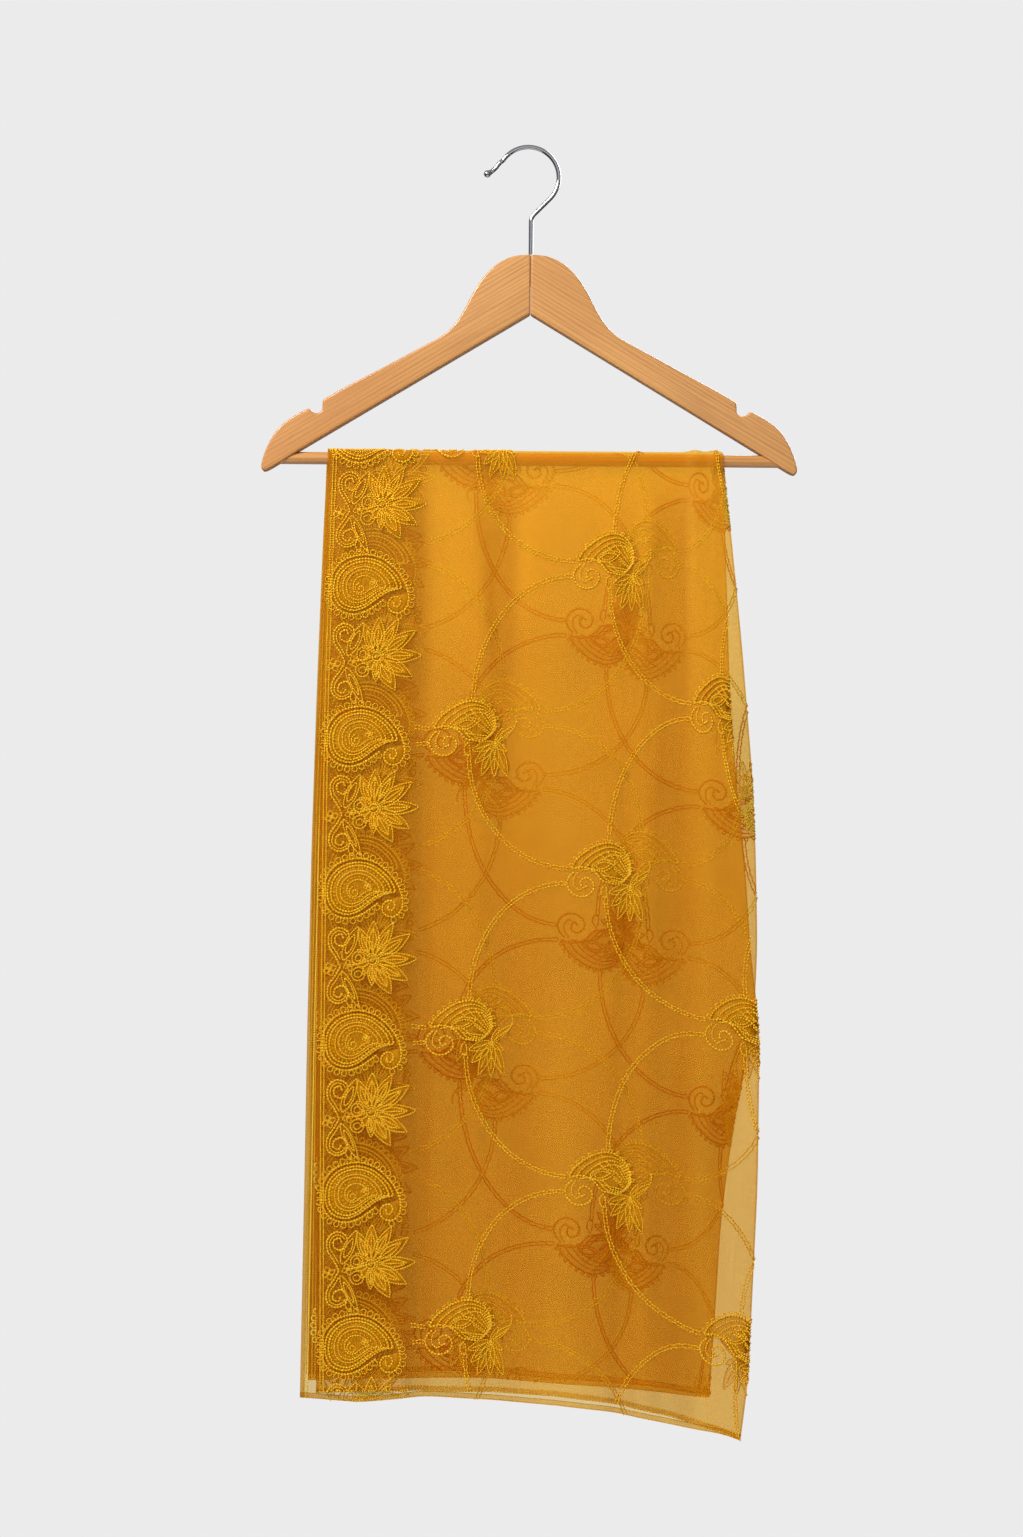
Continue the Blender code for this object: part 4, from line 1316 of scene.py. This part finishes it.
def ground_look(nodes):
    """The ground between a motif's rows: fine threads, with painted shade deepest on the outer layer in
    front.
    """
    threads = nodes.noise(nodes.scaled(nodes.add("TexCoord", "Object"), (900.0, 900.0, 250.0)), detail=0.0)
    tone = nodes.value("tone")
    # painted shade between the rows where the tone is low
    colour = nodes.mixed(tone, GROUND_PAINTED_SHADE, GROUND_PALE)
    colour = nodes.mixed(nodes.between(threads, 0.45, 0.7, 0.0, 0.3), colour, GROUND_PALE)
    thread = nodes.principled(Base_Color=colour, Roughness=0.6, Specular_IOR_Level=0.1)
    open_share = nodes.between(tone, 0.0, 1.0, 1.0, 0.22)
    cover = nodes.math("MULTIPLY", nodes.between(threads, 0.3, 0.6, 0.45, 0.6), open_share)
    return nodes.mix_shaders(cover, nodes.add("BsdfTransparent"), thread)


WOOD_PALE = (0.70, 0.335, 0.088)
WOOD_WARM = (0.60, 0.252, 0.054)
WOOD_LINE = (0.30, 0.105, 0.024)
CHROME_BRIGHT = (0.50, 0.51, 0.53)
CHROME_DULL = (0.38, 0.38, 0.40)
FLOOR_DEEP = (0.78, 0.775, 0.775)
FLOOR_PALE = (0.82, 0.815, 0.815)


def wood_look(nodes):
    """Light lacquered wood: long growth lines, fine pores along the grain, a satin clear coat."""
    grain = nodes.value("grain", "Vector")
    drift = nodes.noise(nodes.scaled(grain, (4.0, 22.0, 22.0)), detail=2.0)
    bands = nodes.wave(nodes.scaled(grain, (2.0, 95.0, 40.0)), 1.0, "Y", distortion=6.0, detail=2.0)
    streaks = nodes.noise(nodes.scaled(grain, (14.0, 620.0, 620.0)), detail=4.0, roughness=0.6)
    pores = nodes.noise(nodes.scaled(grain, (120.0, 2600.0, 2600.0)), detail=1.0)
    colour = nodes.mixed(nodes.between(drift, 0.3, 0.7), WOOD_WARM, WOOD_PALE)
    lines = nodes.math("MULTIPLY", nodes.math("POWER", bands, 5.0), 0.36)
    colour = nodes.mixed(lines, colour, WOOD_LINE)
    colour = nodes.mixed(nodes.between(streaks, 0.48, 0.74, 0.0, 0.55), colour, WOOD_LINE)
    colour = nodes.mixed(nodes.between(pores, 0.66, 0.8, 0.0, 0.5), colour, WOOD_LINE)
    return nodes.principled(
        Base_Color=colour,
        Roughness=nodes.between(streaks, 0.3, 0.7, 0.34, 0.46),
        Coat_Weight=0.6,
        Coat_Roughness=0.12,
        Specular_IOR_Level=0.45,
        Normal=nodes.bump(streaks, 0.12, 0.0003),
    )


def chrome_look(nodes):
    """Polished chrome wire with fine drawing marks and a few dull spots."""
    marks = nodes.noise(nodes.scaled(nodes.add("TexCoord", "Object"), (900.0, 900.0, 160.0)), detail=2.0)
    rough = nodes.between(marks, 0.35, 0.75, 0.06, 0.17)
    colour = nodes.mixed(nodes.between(marks, 0.5, 0.8, 0.0, 0.4), CHROME_BRIGHT, CHROME_DULL)
    return nodes.principled(Base_Color=colour, Roughness=rough, Metallic=1.0)


def floor_look(nodes):
    fine = nodes.noise(nodes.add("TexCoord", "Object"), scale=60.0, detail=3.0)
    return nodes.principled(Base_Color=nodes.mixed(fine, FLOOR_DEEP, FLOOR_PALE), Roughness=0.7)


FLOOR_Z = -1500.0
FLOOR_RADIUS = 1150.0
BACKGROUND = (0.84, 0.83, 0.835)
AMBIENT_TOP = (0.34, 0.34, 0.35)
AMBIENT_LOW = (0.05, 0.049, 0.048)
LIGHTS = (
    # name, place in mm, size in m, power in W
    ("Key", (-1250.0, -1450.0, 1050.0), 1.0, 65.0),
    ("Front", (250.0, -2350.0, -200.0), 2.6, 10.0),
    ("Back", (1100.0, 1900.0, 800.0), 1.6, 48.0),
)
AIM = (0.0, 0.0, -520.0)


def build_stage():
    bpy.ops.mesh.primitive_circle_add(vertices=96, radius=FLOOR_RADIUS * MM, fill_type="NGON")
    floor = bpy.context.object
    floor.name = "studio_floor"
    floor.location = (0.0, 0.0, FLOOR_Z * MM)
    floor.data.materials.append(new_material("pale_floor", floor_look))
    for name, place, size, power in LIGHTS:
        lamp = bpy.data.lights.new(name, "AREA")
        lamp.shape = "DISK"
        lamp.size = size
        lamp.energy = power
        light = bpy.data.objects.new(name, lamp)
        light.location = Vector(place) * MM
        light.rotation_euler = (Vector(AIM) - Vector(place)).to_track_quat("-Z", "Y").to_euler()
        STUDIO.objects.link(light)


def build_world():
    """A pale backdrop all round, and softer light from above than from below."""
    world = bpy.data.worlds.new("Pale studio")
    bpy.context.scene.world = world
    world.use_nodes = True
    nodes = Nodes(world.node_tree)
    up = nodes.add("SeparateXYZ", "Z", {"Vector": nodes.add("TexCoord", "Generated")})
    light = nodes.mixed(nodes.between(up, -0.6, 0.8), AMBIENT_LOW, AMBIENT_TOP)
    ambient = nodes.add("Background", 0, {"Color": light})
    seen = nodes.add("Background", 0, {"Color": (*BACKGROUND, 1.0)})
    camera = nodes.add("LightPath", "Is Camera Ray")
    nodes.add("OutputWorld", inputs={"Surface": nodes.mix_shaders(camera, ambient, seen)})


def build_camera():
    data = bpy.data.cameras.new("Photo view")
    data.sensor_width = SENSOR
    data.lens = SENSOR * CAMERA_DISTANCE / (PIXEL * PICTURE_HEIGHT)
    data.clip_start = 0.05
    camera = bpy.data.objects.new("Photo view", data)
    camera.location = Vector((CAMERA_X, -CAMERA_DISTANCE, CAMERA_Z)) * MM
    camera.rotation_euler = (math.radians(90.0), math.radians(-CAMERA_ROLL), 0.0)
    STUDIO.objects.link(camera)
    bpy.context.scene.camera = camera


def cad_names(*starts):
    return [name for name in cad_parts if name.startswith(starts)]


def main():
    build_camera()
    build_world()
    build_stage()
    bpy.context.scene.view_settings.view_transform = "Standard"
    bpy.context.scene.cycles.transparent_max_bounces = 40

    wood, chrome = new_material("light_wood", wood_look), new_material("chrome_wire", chrome_look)
    organza = new_material("organza", organza_look)
    threads = {}
    for place, shares in THREADS.items():
        threads[place] = new_material(f"golden_thread_{place}", thread_look, *shares)
    arm_left, arm_right, bar, hook = build_hanger(wood, chrome)
    cloth = cloth_strip("stole_cloth", p_columns(), q_rows(), 0.0, organza)
    hems = build_hems(organza)
    embroidery = build_embroidery(threads, new_material("golden_ground", ground_look))

    for piece in (arm_left, arm_right, bar, hook, cloth, *hems, *embroidery):
        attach(piece, "root")
    for piece, node, slot in (
        (arm_left, "hanger_arm_left", "light_wood"),
        (arm_right, "hanger_arm_right", "light_wood"),
        (bar, "hanger_bar", "light_wood"),
        (hook, "hanger_hook", "chrome_wire"),
    ):
        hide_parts(node)
    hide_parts("stole_front_fall", "stole_turn", "stole_back_fall")
    for face in ("front", "back"):
        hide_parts(*cad_names(f"{face}_border"))
        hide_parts(*cad_names(f"{face}_field"))


main()
